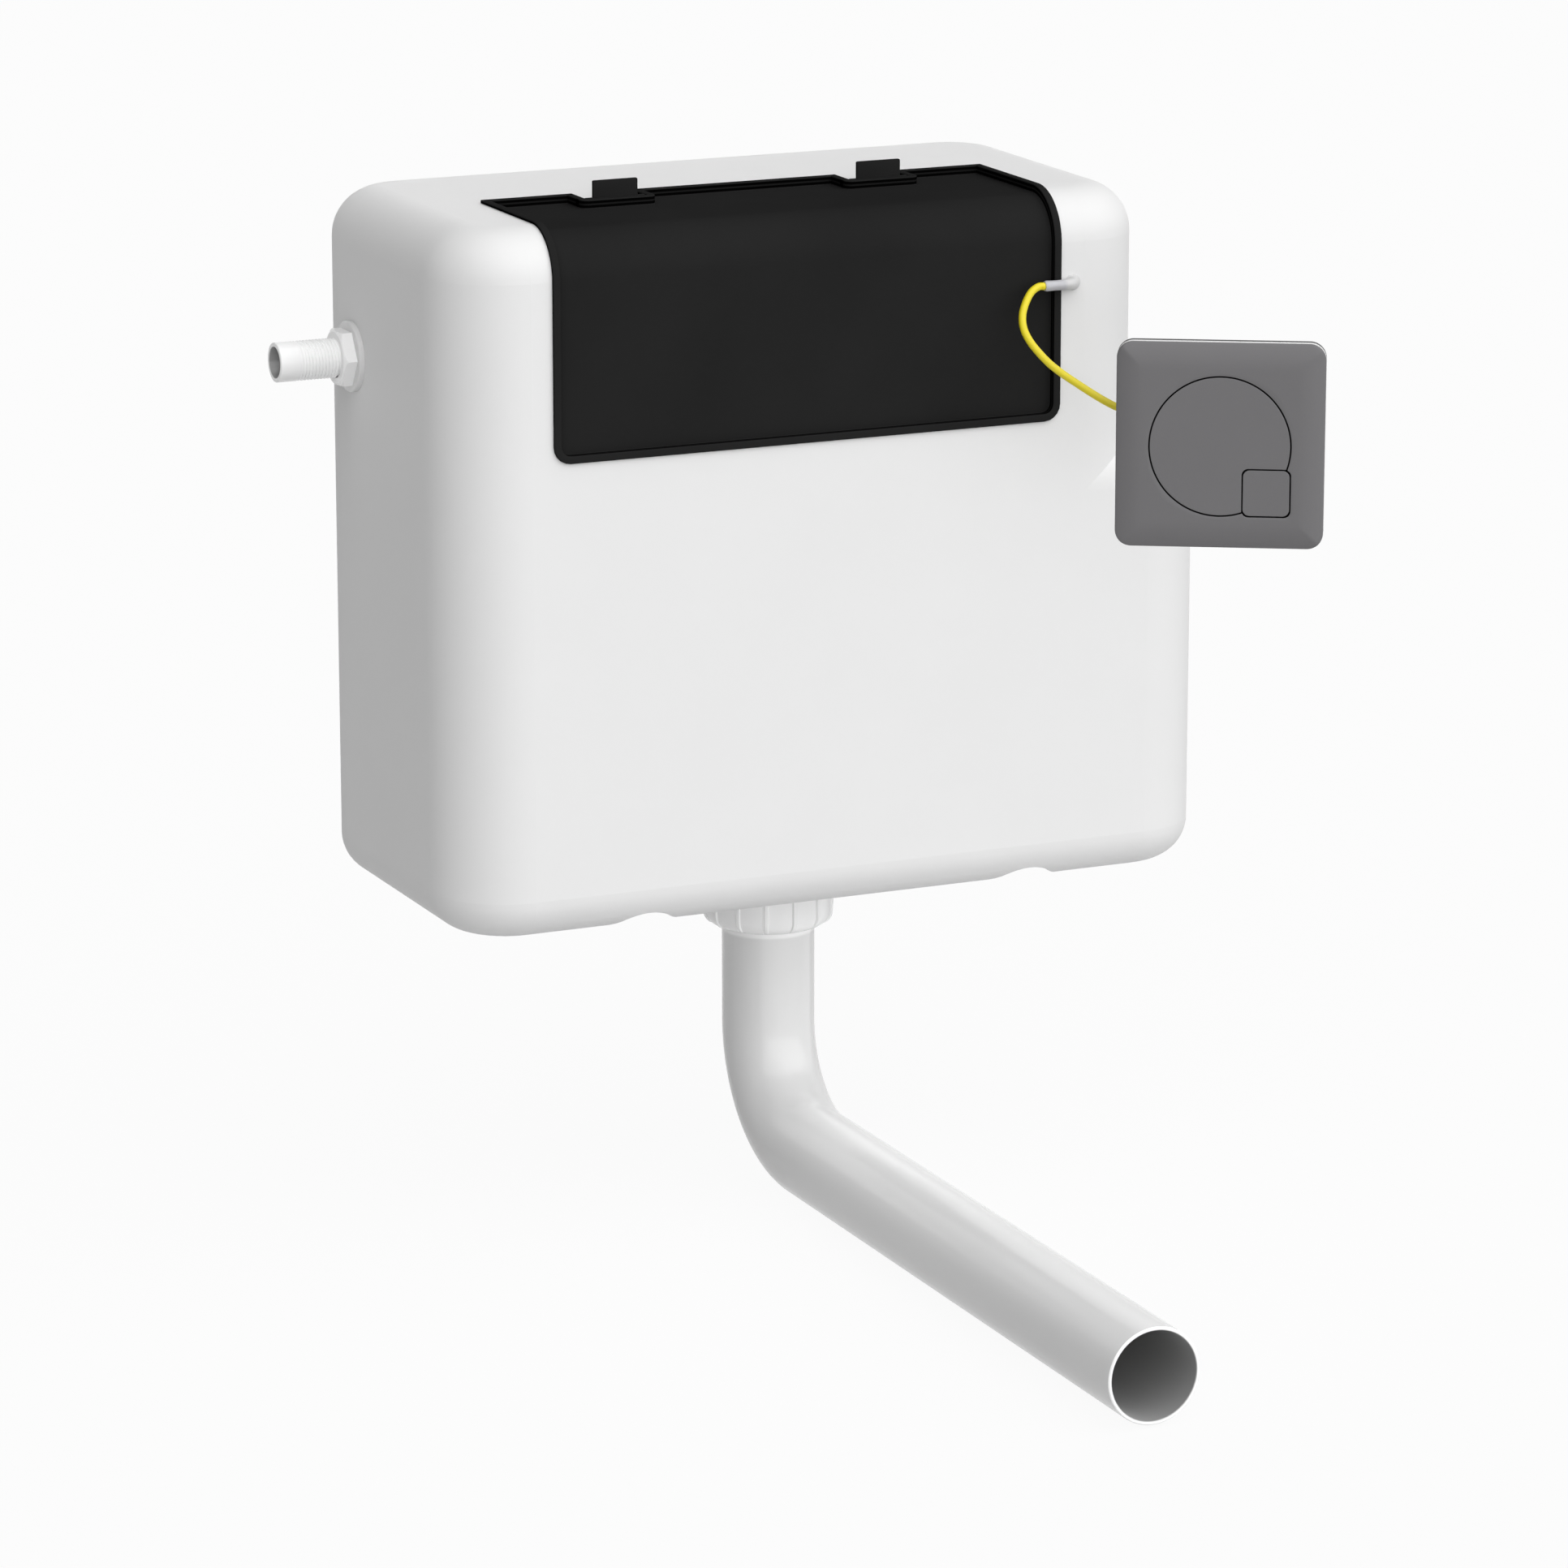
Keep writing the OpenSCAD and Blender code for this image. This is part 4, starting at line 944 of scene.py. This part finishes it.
@dataclass
class WaterInlet:
    """The fill valve's threaded tail on the tank's left side, its body inside the tank, and its nut."""

    y: float = -62.0
    z: float = 286.0
    wall_x: float = -217.5
    inner_x: float = -207.0
    length: float = 43.0
    plain: float = 10.0
    radius: float = 10.45
    root: float = 9.75
    bore: float = 8.0
    bore_ease: float = 0.3
    pitch: float = 1.8
    run_in: int = 4
    lip: tuple[Span, ...] = ((0.55, 0.0), (0.2, 0.12), (0.05, 0.3), (0.0, 0.55), (0.0, 1.0), (0.0, 5.0))
    body: tuple[Span, ...] = (
        (9.0, -209.0), (16.6, -211.5), (16.95, -211.2), (16.95, -207.3), (16.6, -207.0), (13.4, -207.0),
        (13.0, -206.6), (13.0, -165.0),
    )
    spigot: tuple[Span, ...] = ((7.0, 0.0), (7.0, -22.6), (6.6, -23.0), (5.0, -23.0), (5.0, 0.0))
    spigot_x: float = -189.5
    washer_radius: float = 18.7
    washer: float = 3.0
    flats: float = 28.0
    nut: float = 7.0
    nut_gap: float = 0.05
    chamfer: float = 0.5
    cone_slope: float = 1.7
    sides: int = 96

    def along_x(self, points: Array) -> Array:
        """Turned sections with their axis laid along X through the inlet."""
        return points[..., [2, 0, 1]] + np.array([0.0, self.y, self.z])

    def tail(self) -> Array:
        """Sections of the tail.

        Past the plain end its radius is the root plus a ridge that follows a helix: the ridge's phase is the
        distance over the pitch less the angle over a full turn, and it grows over the run-in's pitches.
        """
        end = self.wall_x - self.length
        thread = np.arange(end + self.plain, self.wall_x - self.washer - self.nut, self.pitch / 12)
        lip = np.array(self.lip)
        x = np.concatenate([end + lip[:, 1], thread,
                            [self.wall_x, self.inner_x, self.inner_x, end + self.bore_ease, end]])
        r = np.concatenate([self.radius - lip[:, 0], np.full(len(thread) + 2, self.root),
                            [self.bore, self.bore, self.bore + self.bore_ease]])
        rings = turned(np.stack([r, x], 1), self.sides)
        angle = np.linspace(0, 1, self.sides, endpoint=False)
        phase = ((thread[:, None] - thread[0]) / self.pitch - angle) % 1.0
        ridge = 0.5 - 0.5 * np.cos(2 * math.pi * phase)
        fade = np.clip((thread - thread[0]) / (self.run_in * self.pitch), 0, 1)[:, None]
        grown = (self.root + (self.radius - self.root) * (ridge * fade + 1 - fade)) / self.root
        rings[len(lip):len(lip) + len(thread), :, :2] *= grown[..., None]
        return self.along_x(rings)

    def inner(self) -> Shell:
        """The flange and body inside the tank, and the spigot for the fill tube."""
        spigot = turned(np.array(self.spigot), 40) + np.array([self.spigot_x, self.y, self.z])
        return skin(self.along_x(turned(np.array(self.body)))) + skin(spigot, looped=True)

    def nut_shell(self) -> Shell:
        """The nut: a round washer face, and a hexagon whose corners are cut by a cone at its outer end."""
        face, bore = self.wall_x - self.washer, self.radius + self.nut_gap
        washer = turned(arc_profile(((bore, self.wall_x, 0.05), (self.washer_radius, self.wall_x, 0.2),
                                     (self.washer_radius, face, 1.1), (bore, face, 0.05))), 72)
        x = face - self.nut * np.array([-0.02, 0.0, 0.3, 0.6, 0.75, 0.85, 0.93, 1.0])
        angle = full_turn(self.sides)
        six = self.flats / 2 / np.cos(angle % (math.pi / 3) - math.pi / 6)
        cone = self.flats / 2 - self.chamfer + self.cone_slope * (x - x[-1])
        radius = np.concatenate([np.minimum(six[None], cone[:, None]), np.full((2, self.sides), bore)])
        rings = xyz(radius * np.cos(angle), radius * np.sin(angle), np.append(x, [x[-1], x[0]])[:, None])
        return skin(self.along_x(washer), looped=True) + skin(self.along_x(rings), looped=True)

    def build(self) -> list[Thing]:
        """The valve with its tail, and the nut."""
        return [
            Piece("fill_valve_tail", Body.CISTERN, Finishes.PIPE, ("fill_valve",), 60.0).build(
                skin(self.tail(), looped=True) + self.inner()),
            Piece("inlet_nut_turned", Body.CISTERN, Finishes.PIPE, ("inlet_nut",), 25.0).build(
                self.nut_shell()),
        ]


@dataclass
class FlushPipe:
    """The bent flush pipe under the tank and its ribbed coupling nut."""

    radius: float = 25.0
    wall: float = 2.0
    top: float = -13.0
    bend_top: float = -86.5
    bend: float = 60.0
    length: float = 455.5
    ease: float = 0.5
    nut_radius: float = 34.8
    nut_low: float = -33.0
    nut_top: float = -10.5
    nut_foot: float = 8.6
    nut_floor: float = 3.0
    nut_gap: float = 0.4
    nut_bore: float = 29.85
    ribs: int = 14
    rib_height: float = 1.0
    rib_half: float = 0.9
    rib_steps: tuple[float, ...] = (-2.3, -2.0, -1.35, -1.1, -0.85, 0.0, 0.85, 1.05, 1.25)
    rib_rise: tuple[float, ...] = (0.0, -0.6, -0.6, 0.75, 1.0, 1.0, 1.0, 0.75, 0.0)
    rib_flats: int = 5
    rib_band: Span = (0.5, 1.5)
    rib_end: float = 0.4

    def pipe(self) -> Shell:
        """The pipe: down the neck, round a quarter circle and forward, outside and back along the bore."""
        turn = np.linspace(0, math.pi / 2, 41)
        line = np.concatenate([
            xyz(0.0, 0.0, np.linspace(self.top, self.bend_top, 6)[:-1]),
            xyz(0.0, self.bend * (np.cos(turn) - 1), self.bend_top - self.bend * np.sin(turn)),
            xyz(0.0, np.linspace(-self.bend, -self.length, 12)[1:], self.bend_top - self.bend),
        ])
        line = np.concatenate([line[:1], line, line[-1:]])
        line[1, 2] -= self.ease
        line[-2, 1] += self.ease
        outer = np.full(len(line), self.radius)
        outer[[0, -1]] -= self.ease
        inner = np.full(len(line), self.radius - self.wall)
        inner[[0, -1]] += self.ease
        upright = (1.0, 0.0, 0.0)
        rings = np.concatenate([swept(line, outer, upright, 72), swept(line, inner, upright, 72)[::-1]])
        return skin(rings + np.array([0.0, OUTLET_Y, 0.0]), looped=True)

    def nut(self) -> Shell:
        """The coupling nut: a cup turned round the pipe, raised at each rib and lowered before it."""
        hole, floor = self.radius + self.nut_gap, self.nut_low + self.nut_floor
        profile = arc_profile((
            (hole, self.nut_low, 0.3), (self.nut_radius, self.nut_low, self.nut_foot),
            (self.nut_radius, self.nut_top, 1.0), (self.nut_bore, self.nut_top, 0.3),
            (self.nut_bore, floor, 0.1), (hole, floor, 0.1),
        ), 8)
        pitch = 2 * math.pi / self.ribs
        steps = self.rib_half / self.nut_radius * np.array(self.rib_steps)
        flats = np.linspace(steps[-1], pitch + steps[0], self.rib_flats + 2)[1:-1]
        angle = (np.arange(self.ribs)[:, None] * pitch + pitch / 2 + np.append(steps, flats)).ravel()
        lift = np.tile(np.append(self.rib_rise, np.zeros(self.rib_flats)), self.ribs) * self.rib_height
        inner, band = self.rib_band
        outside = np.clip((profile[:, 0] - self.nut_bore - inner) / band, 0, 1)
        outside *= np.clip((self.nut_top - self.rib_end - profile[:, 1]) / self.rib_end, 0, 1)
        radius = profile[:, :1] + outside[:, None] * lift
        rings = xyz(radius * np.cos(angle), radius * np.sin(angle) + OUTLET_Y, profile[:, 1:])
        return skin(rings, looped=True)

    def build(self) -> list[Thing]:
        """The pipe and the nut."""
        run = ("pipe_neck", "pipe_bend", "flush_pipe")
        return [
            Piece("flush_pipe_drawn", Body.CISTERN, Finishes.PIPE, run).build(self.pipe()),
            Piece("coupling_nut_ribbed", Body.CISTERN, Finishes.PIPE, ("coupling_nut",), 32.0).build(
                self.nut()),
        ]


@dataclass
class CableSleeve:
    """The pale sleeve that turns out of the tank's front beside the cover."""

    x: float = 129.0
    z: float = 323.0
    front: float = -206.0
    reach: float = 5.2
    end_x: float = 110.2
    radius: float = 3.0
    waist: float = 0.35
    mouth: Span = (0.5, 0.1)
    flange: float = 4.2
    flare_from: float = 0.95
    flare_turn: float = 0.5
    stub: tuple[Span, ...] = ((0.2, 3.0), (3.9, 3.0), (4.0, 5.4), (6.0, 5.4), (6.1, 3.0), (10.0, 3.0))

    def build(self) -> Thing:
        """Sweeps a waisted radius along the sleeve, flared to its flange on the tank."""
        share = np.linspace(0, 1, 14)
        turn = np.linspace(0, math.pi / 2, 16)[1:]
        stub = np.array(self.stub)
        bend_x = self.x - self.reach
        line = np.concatenate([
            xyz(np.linspace(self.end_x, bend_x, len(share)), self.front - self.reach, self.z),
            xyz(bend_x + self.reach * np.sin(turn), self.front - self.reach * np.cos(turn), self.z),
            xyz(self.x, stub[:, 0] + self.front, self.z),
        ])
        along = self.radius - self.waist * np.sin(math.pi * share)
        along[:2] -= np.array(self.mouth)
        grown = np.clip((turn - self.flare_from) / self.flare_turn, 0, 1) ** 2
        flare = self.radius + (self.flange - self.radius) * grown
        rings = swept(line, np.concatenate([along, flare, stub[:, 1]]), (0.0, 0.0, 1.0), 32)
        return Piece("cable_sleeve", Body.CISTERN, Finishes.SLEEVE, ("cable_elbow",)).build(skin(rings))


@dataclass
class PushPlate:
    """The square push plate with its round full-flush and square half-flush buttons.

    Its own frame has x to the right and z up over the face, and y inwards from it.
    """

    centre: Point = (162.0, -310.0, 252.0)
    yaw_deg: float = -30.0
    width: float = 107.0
    corner: float = 8.5
    depth: float = 8.0
    pocket: float = 4.4
    skirt: float = 4.0
    pillow: float = 14.0
    fall: float = 3.0
    power: int = 12
    lip: float = 0.2
    lip_middle: Span = (0.05, 0.06)
    rim_ease: float = 1.0
    rim_drop: float = 0.9
    rim_step: float = 0.1
    back_ease: float = 0.3
    cap_border: float = 0.8
    full_radius: float = 36.0
    half_width: float = 24.0
    half_corner: float = 3.5
    gap: float = 0.6
    button: float = 4.0
    full_stem: Span = (5.0, 26.0)
    half_stem: Span = (3.5, 20.0)
    stem_ease: float = 0.5
    web: float = 15.0
    stroke: float = 6.0
    coil: float = 0.5
    coil_radii: Span = (6.6, 5.1)
    turns: int = 5
    samples: int = 480
    spokes: int = 20
    spoke_power: float = 0.8

    def placed(self, points: Array) -> Array:
        """Points of the plate's frame, turned by the yaw and moved to the plate's centre."""
        cos, sin = math.cos(math.radians(self.yaw_deg)), math.sin(math.radians(self.yaw_deg))
        x, y, z = points[..., 0], points[..., 1], points[..., 2]
        return xyz(x * cos - y * sin, x * sin + y * cos, z) + np.array(self.centre)

    @staticmethod
    def polar(outline: Array, angle: Array, **ends: float) -> Array:
        """Radius of an outline that each ray from the plate's centre meets once.

        Args:
            outline: Points (n, 2).
            angle: Angles of the rays.
            ends: What np.interp takes past the outline's ends: its period, or a left and a right value.

        Returns:
            The radius at each angle.
        """
        at = np.arctan2(outline[:, 1], outline[:, 0])
        order = np.argsort(at)
        return np.interp(angle, at[order], np.hypot(outline[order, 0], outline[order, 1]), **ends)

    def half_square(self, grow: float) -> tuple[Array, Array]:
        """The half button's outline, grown, split where the rays from the plate's centre graze it.

        Args:
            grow: Distance by which it is grown.

        Returns:
            Its far part and its near part, each in order.
        """
        low, high = self.full_radius - self.half_width - grow, self.full_radius + grow
        loop = refined(soft_box(low, -high, high, -low, self.half_corner, 15), 0.4)
        loop = np.roll(loop, -int(np.argmin(np.arctan2(loop[:, 1], loop[:, 0]))), 0)
        split = int(np.argmax(np.arctan2(loop[:, 1], loop[:, 0])))
        return loop[:split + 1], np.concatenate([loop[split:], loop[:1]])

    def sink(self, x: Array, z: Array) -> Array:
        """Depth of the face: two arcs falling to the edges, joined by the root of their powers' sum."""
        bow = (self.pillow**2 + self.fall**2) / (2 * self.fall)
        falls = [bow - np.sqrt(bow**2 - np.clip(abs(v) - self.width / 2 + self.pillow, 0, self.pillow)**2)
                 for v in (x, z)]
        return (falls[0]**self.power + falls[1]**self.power) ** (1 / self.power)

    def angles(self) -> Array:
        """Even angles round the plate, and those where the two buttons meet."""
        meet = math.asin((self.full_radius - self.half_width - self.gap) / self.full_radius)
        even = np.linspace(-math.pi, math.pi, self.samples, endpoint=False)
        return np.unique(np.concatenate([even, [-meet, meet - math.pi / 2]]))

    @staticmethod
    def rings_at(angle: Array, radii: Sequence[Array], depths: Sequence[Any]) -> Array:
        """Sections from radii and depths at the same angles."""
        return np.stack([xyz(r * np.cos(angle), y, r * np.sin(angle)) for r, y in zip(radii, depths)])

    def face(self) -> Shell:
        """The face: spokes from the buttons' opening to the edge, with a pillow, eased edges and a skirt."""
        angle = self.angles()
        half = self.width / 2
        square = refined(soft_box(-half, -half, half, half, self.corner, 25), 0.5)
        edge = self.polar(square, angle, period=2 * math.pi)
        far, _ = self.half_square(self.gap)
        hole = np.maximum(self.full_radius + self.gap, self.polar(far, angle, left=0.0, right=0.0))
        radii = [hole, hole, hole + self.lip_middle[0]]
        depths: list[Any] = [self.pocket, self.lip, self.lip_middle[1]]
        for share in np.linspace(0, 1, self.spokes) ** self.spoke_power:
            r = hole + self.lip + share * (edge - self.rim_ease - hole - self.lip)
            radii.append(r)
            depths.append(self.sink(r * np.cos(angle), r * np.sin(angle)))
        rim = depths[-1]
        for turn in np.linspace(0, math.pi / 2, 6)[1:]:
            radii.append(edge - self.rim_ease * (1 - math.sin(turn)))
            depths.append(rim + self.rim_drop * (1 - math.cos(turn)) + self.rim_step)
        radii += [edge, edge - self.back_ease, edge - self.skirt, edge - self.skirt]
        depths += [self.depth - self.back_ease, self.depth, self.depth, self.pocket]
        return skin(self.placed(self.rings_at(angle, radii, depths)), looped=True)

    def cap(self, angle: Array, edge: Array, place: float, stem: Span) -> Shell:
        """A button: a cap with eased edges, and a stem behind it.

        Args:
            angle: Angles about the cap's own centre.
            edge: The cap's radius at those angles.
            place: Distance of its centre from the plate's, to the right and down.
            stem: Radius of the stem and depth of its end.

        Returns:
            The button's surface.
        """
        taken_in = (self.cap_border, self.lip, self.lip_middle[0], 0.0, 0.0, self.back_ease, self.cap_border)
        rings = self.rings_at(angle, [edge - distance for distance in taken_in],
                              [0.0, 0.0, self.lip_middle[1], self.lip, self.button - self.back_ease,
                               self.button, self.button])
        radius, end = stem
        rod = turned(np.array([(radius, self.button - 1), (radius, end - self.stem_ease),
                               (radius - self.stem_ease, end)]), 32)
        shift = np.array([place, 0.0, -place])
        return skin(self.placed(rings + shift)) + skin(self.placed(rod[..., [0, 2, 1]] + shift))

    def spring(self, body: Body, key: str, radius: float, place: float) -> Thing:
        """A return spring: a wire along a helix from button to web.

        Args:
            body: The button's body.
            key: First word of the spring's node and of its piece's name.
            radius: Radius of the helix.
            place: Distance of its axis from the plate's centre, to the right and down.

        Returns:
            The spring.
        """
        share = np.linspace(0, 1, 32 * self.turns + 1)
        angle = 2 * math.pi * self.turns * share
        depth = self.button + self.coil + share * (self.web - self.button - 2 * self.coil)
        line = xyz(place + radius * np.cos(angle), depth, radius * np.sin(angle) - place)
        rings = swept(line, np.full(len(line), self.coil), (0.0, 1.0, 0.0), 10)
        piece = Piece(f"{key}_spring_coil", body, Finishes.STEEL, (f"{key}_spring",))
        made = piece.build(skin(self.placed(rings)))
        ends = to_row(self.placed(np.array([(place, self.button, -place), (place, self.web, -place)])))
        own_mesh(made)
        return made

    def build(self) -> list[Thing]:
        """The face, the two buttons and their springs."""
        angle = self.angles()
        _, near = self.half_square(self.gap)
        full = np.minimum(self.full_radius, self.polar(near, angle, left=1e3, right=1e3))
        even = np.linspace(-math.pi, math.pi, self.samples // 2, endpoint=False)
        side = self.half_width / 2
        square = refined(soft_box(-side, -side, side, side, self.half_corner, 15), 0.3)
        half = self.polar(square, even, period=2 * math.pi)
        place = self.full_radius - side
        return [
            Piece("plate_face_pillow", Body.CISTERN, Finishes.PLATE, ("plate_face",), 50.0).build(
                self.face()),
            Piece("full_flush_key", Body.FULL_KEY, Finishes.PLATE, ("full_button",), 50.0).build(
                self.cap(angle, full, 0.0, self.full_stem)),
            Piece("half_flush_key", Body.HALF_KEY, Finishes.PLATE, ("half_button",), 50.0).build(
                self.cap(even, half, place, self.half_stem)),
            self.spring(Body.FULL_KEY, "full", self.coil_radii[0], 0.0),
            self.spring(Body.HALF_KEY, "half", self.coil_radii[1], place),
        ]


def dress(nodes: dict[str, Thing]) -> None:
    """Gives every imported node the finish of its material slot."""
    finishes = {finish.value.slot: finish.value for finish in Finishes}
    slots = {part["node"]: part["material_slot"] for part in frame["record"]["subparts"]}
    for name, node in nodes.items():
        node.data.materials.clear()
        node.data.materials.append(finishes[slots[name]].material())
        LOG.info("%s: finish %s", name, slots[name])


# Studio


def linked(name: str, objects: Sequence[Thing], state: str) -> bpy.types.Collection:
    """Objects that a lamp is tied to, as a group outside the scene: INCLUDE, or EXCLUDE for all but these."""
    made = bpy.data.collections.new(name)
    for item in objects:
        made.objects.link(item)
    for entry in made.collection_objects:
        entry.light_linking.link_state = state
    return made


@dataclass(frozen=True)
class Sun:
    """A soft sun: its strength, the direction from the object to it and its width in the sky."""

    energy: float
    towards: Point
    angle: float

    def build(self, name: str) -> Thing:
        """Adds the sun to the scene."""
        lamp = bpy.data.lights.new(name, "SUN")
        lamp.energy = self.energy
        lamp.angle = self.angle
        made = bpy.data.objects.new(name, lamp)
        made.rotation_euler = Vector(self.towards).to_track_quat("Z", "Y").to_euler()
        bpy.context.scene.collection.objects.link(made)
        return made


@dataclass
class Studio:
    """Camera, soft light and a pale floor."""

    eye: Point = (-1.437, -3.2988, 0.6069)
    target: Point = (0.02572, -0.07, -0.29767)
    lens: float = 154.54
    clip: float = 50.0
    ambient: float = 0.14
    sun: Sun = Sun(3.35, (0.16, -0.73, 0.665), 1.9)
    fill: Sun = Sun(1.0, (0.3, 0.95, 0.03), 0.5)
    front_streak: Sun = Sun(3.4, (0.524, -0.852, -0.25), 2.4)
    back_streak: Sun = Sun(1.1, (0.0, 0.669, 0.743), 1.36)
    floor_z: float = -0.5035
    floor_reach: float = 8.0
    floor_colour: Colour = grey(0.62)
    floor_glow: float = 0.94

    def camera(self) -> None:
        """Sets the camera at the photo's place."""
        data = bpy.data.cameras.new("camera")
        data.lens = self.lens
        data.clip_end = self.clip
        made = bpy.data.objects.new("camera", data)
        made.location = self.eye
        made.rotation_euler = (Vector(self.target) - Vector(self.eye)).to_track_quat("-Z", "Y").to_euler()
        bpy.context.scene.collection.objects.link(made)
        bpy.context.scene.camera = made

    @staticmethod
    def seen(shader: Shader) -> Wire:
        """1 for rays that show the background: camera, glossy and transmission rays."""
        path = shader.node("ShaderNodeLightPath")
        rays = [Wire(shader, path.outputs[f"Is {kind} Ray"]) for kind in ("Camera", "Glossy", "Transmission")]
        return rays[0] + rays[1] + rays[2]

    def suns(self, tank: Sequence[Thing], plate: Sequence[Thing]) -> None:
        """Lights the tank by a sun that the plate doesn't shade, the rest by its twin, the back by a fill.

        Args:
            tank: Pieces that show no shadow of the plate.
            plate: Pieces of the push plate.
        """
        rest, front = self.sun.build("sun"), self.sun.build("tank_sun")
        self.fill.build("back_fill").visible_glossy = False
        rest.light_linking.receiver_collection = linked("rest", tank, "EXCLUDE")
        front.light_linking.receiver_collection = linked("tank_only", tank, "INCLUDE")
        front.light_linking.blocker_collection = linked("plate_off", plate, "EXCLUDE")

    def streaks(self, pipes: Sequence[Thing], clear: Sequence[Thing]) -> None:
        """Adds two wide suns that show only as streaks of gloss on the pipe.

        Args:
            pipes: Pieces that show the streaks.
            clear: Pieces that don't block them.
        """
        for name, sun in (("front_streak", self.front_streak), ("back_streak", self.back_streak)):
            made = sun.build(name)
            made.visible_diffuse = False
            made.light_linking.receiver_collection = linked(f"{name}_pipes", pipes, "INCLUDE")
            made.light_linking.blocker_collection = linked(f"{name}_clear", clear, "EXCLUDE")

    def world(self) -> None:
        """Sets an even world that is white where it is seen."""
        world = bpy.data.worlds.new("studio")
        bpy.context.scene.world = world
        shader = Shader(world)
        strength = self.ambient + (1.0 - self.ambient) * self.seen(shader)
        back = shader.node("ShaderNodeBackground", None, {"Color": (*WHITE, 1.0), "Strength": strength})
        shader.node("ShaderNodeOutputWorld", None, {"Surface": back.outputs[0]})

    def floor(self) -> Thing:
        """A pale floor that is nearly white where it is seen and keeps a faint shadow."""
        corners = self.floor_reach * np.array([(-1, -1, 0), (1, -1, 0), (1, 1, 0), (-1, 1, 0)])
        mesh = bpy.data.meshes.new("floor")
        mesh.from_pydata((corners + np.array([0.0, 0.0, self.floor_z])).tolist(), [], [(0, 1, 2, 3)])
        material = bpy.data.materials.new("floor_pale")
        shader = Shader(material)
        diffuse = shader.node("ShaderNodeBsdfDiffuse", None, {"Color": (*self.floor_colour, 1.0)})
        glow = shader.node("ShaderNodeEmission", None, {"Color": (*WHITE, 1.0), "Strength": 1.0})
        mixed = shader.node("ShaderNodeMixShader", None, {
            0: self.floor_glow * self.seen(shader), 1: diffuse.outputs[0], 2: glow.outputs[0]})
        shader.node("ShaderNodeOutputMaterial", None, {"Surface": mixed.outputs[0]})
        mesh.materials.append(material)
        made = bpy.data.objects.new("floor", mesh)
        bpy.context.scene.collection.objects.link(made)
        return made

    def build(self) -> Thing:
        """Sets up the camera, the world and the floor, and returns the floor."""
        self.camera()
        self.world()
        bpy.context.scene.view_settings.view_transform = "Standard"
        return self.floor()


def main() -> None:
    """Builds the studio and every sub-assembly, in order."""
    logging.basicConfig(level=logging.INFO, format="%(name)s %(message)s")
    nodes = frame["nodes"]
    studio = Studio()
    floor = studio.build()
    FlushCable().build()
    dress(nodes)
    cover = AccessCover().build()
    WaterInlet().build()
    pipes = FlushPipe().build()
    sleeve = CableSleeve().build()
    plate = PushPlate().build()
    studio.streaks(pipes, [floor, nodes["tank"], cover[0], *pipes])
    studio.suns([nodes["tank"], cover[0], sleeve], plate + [nodes[name] for name in BEHIND_PLATE])


if __name__ == "__main__":
    main()
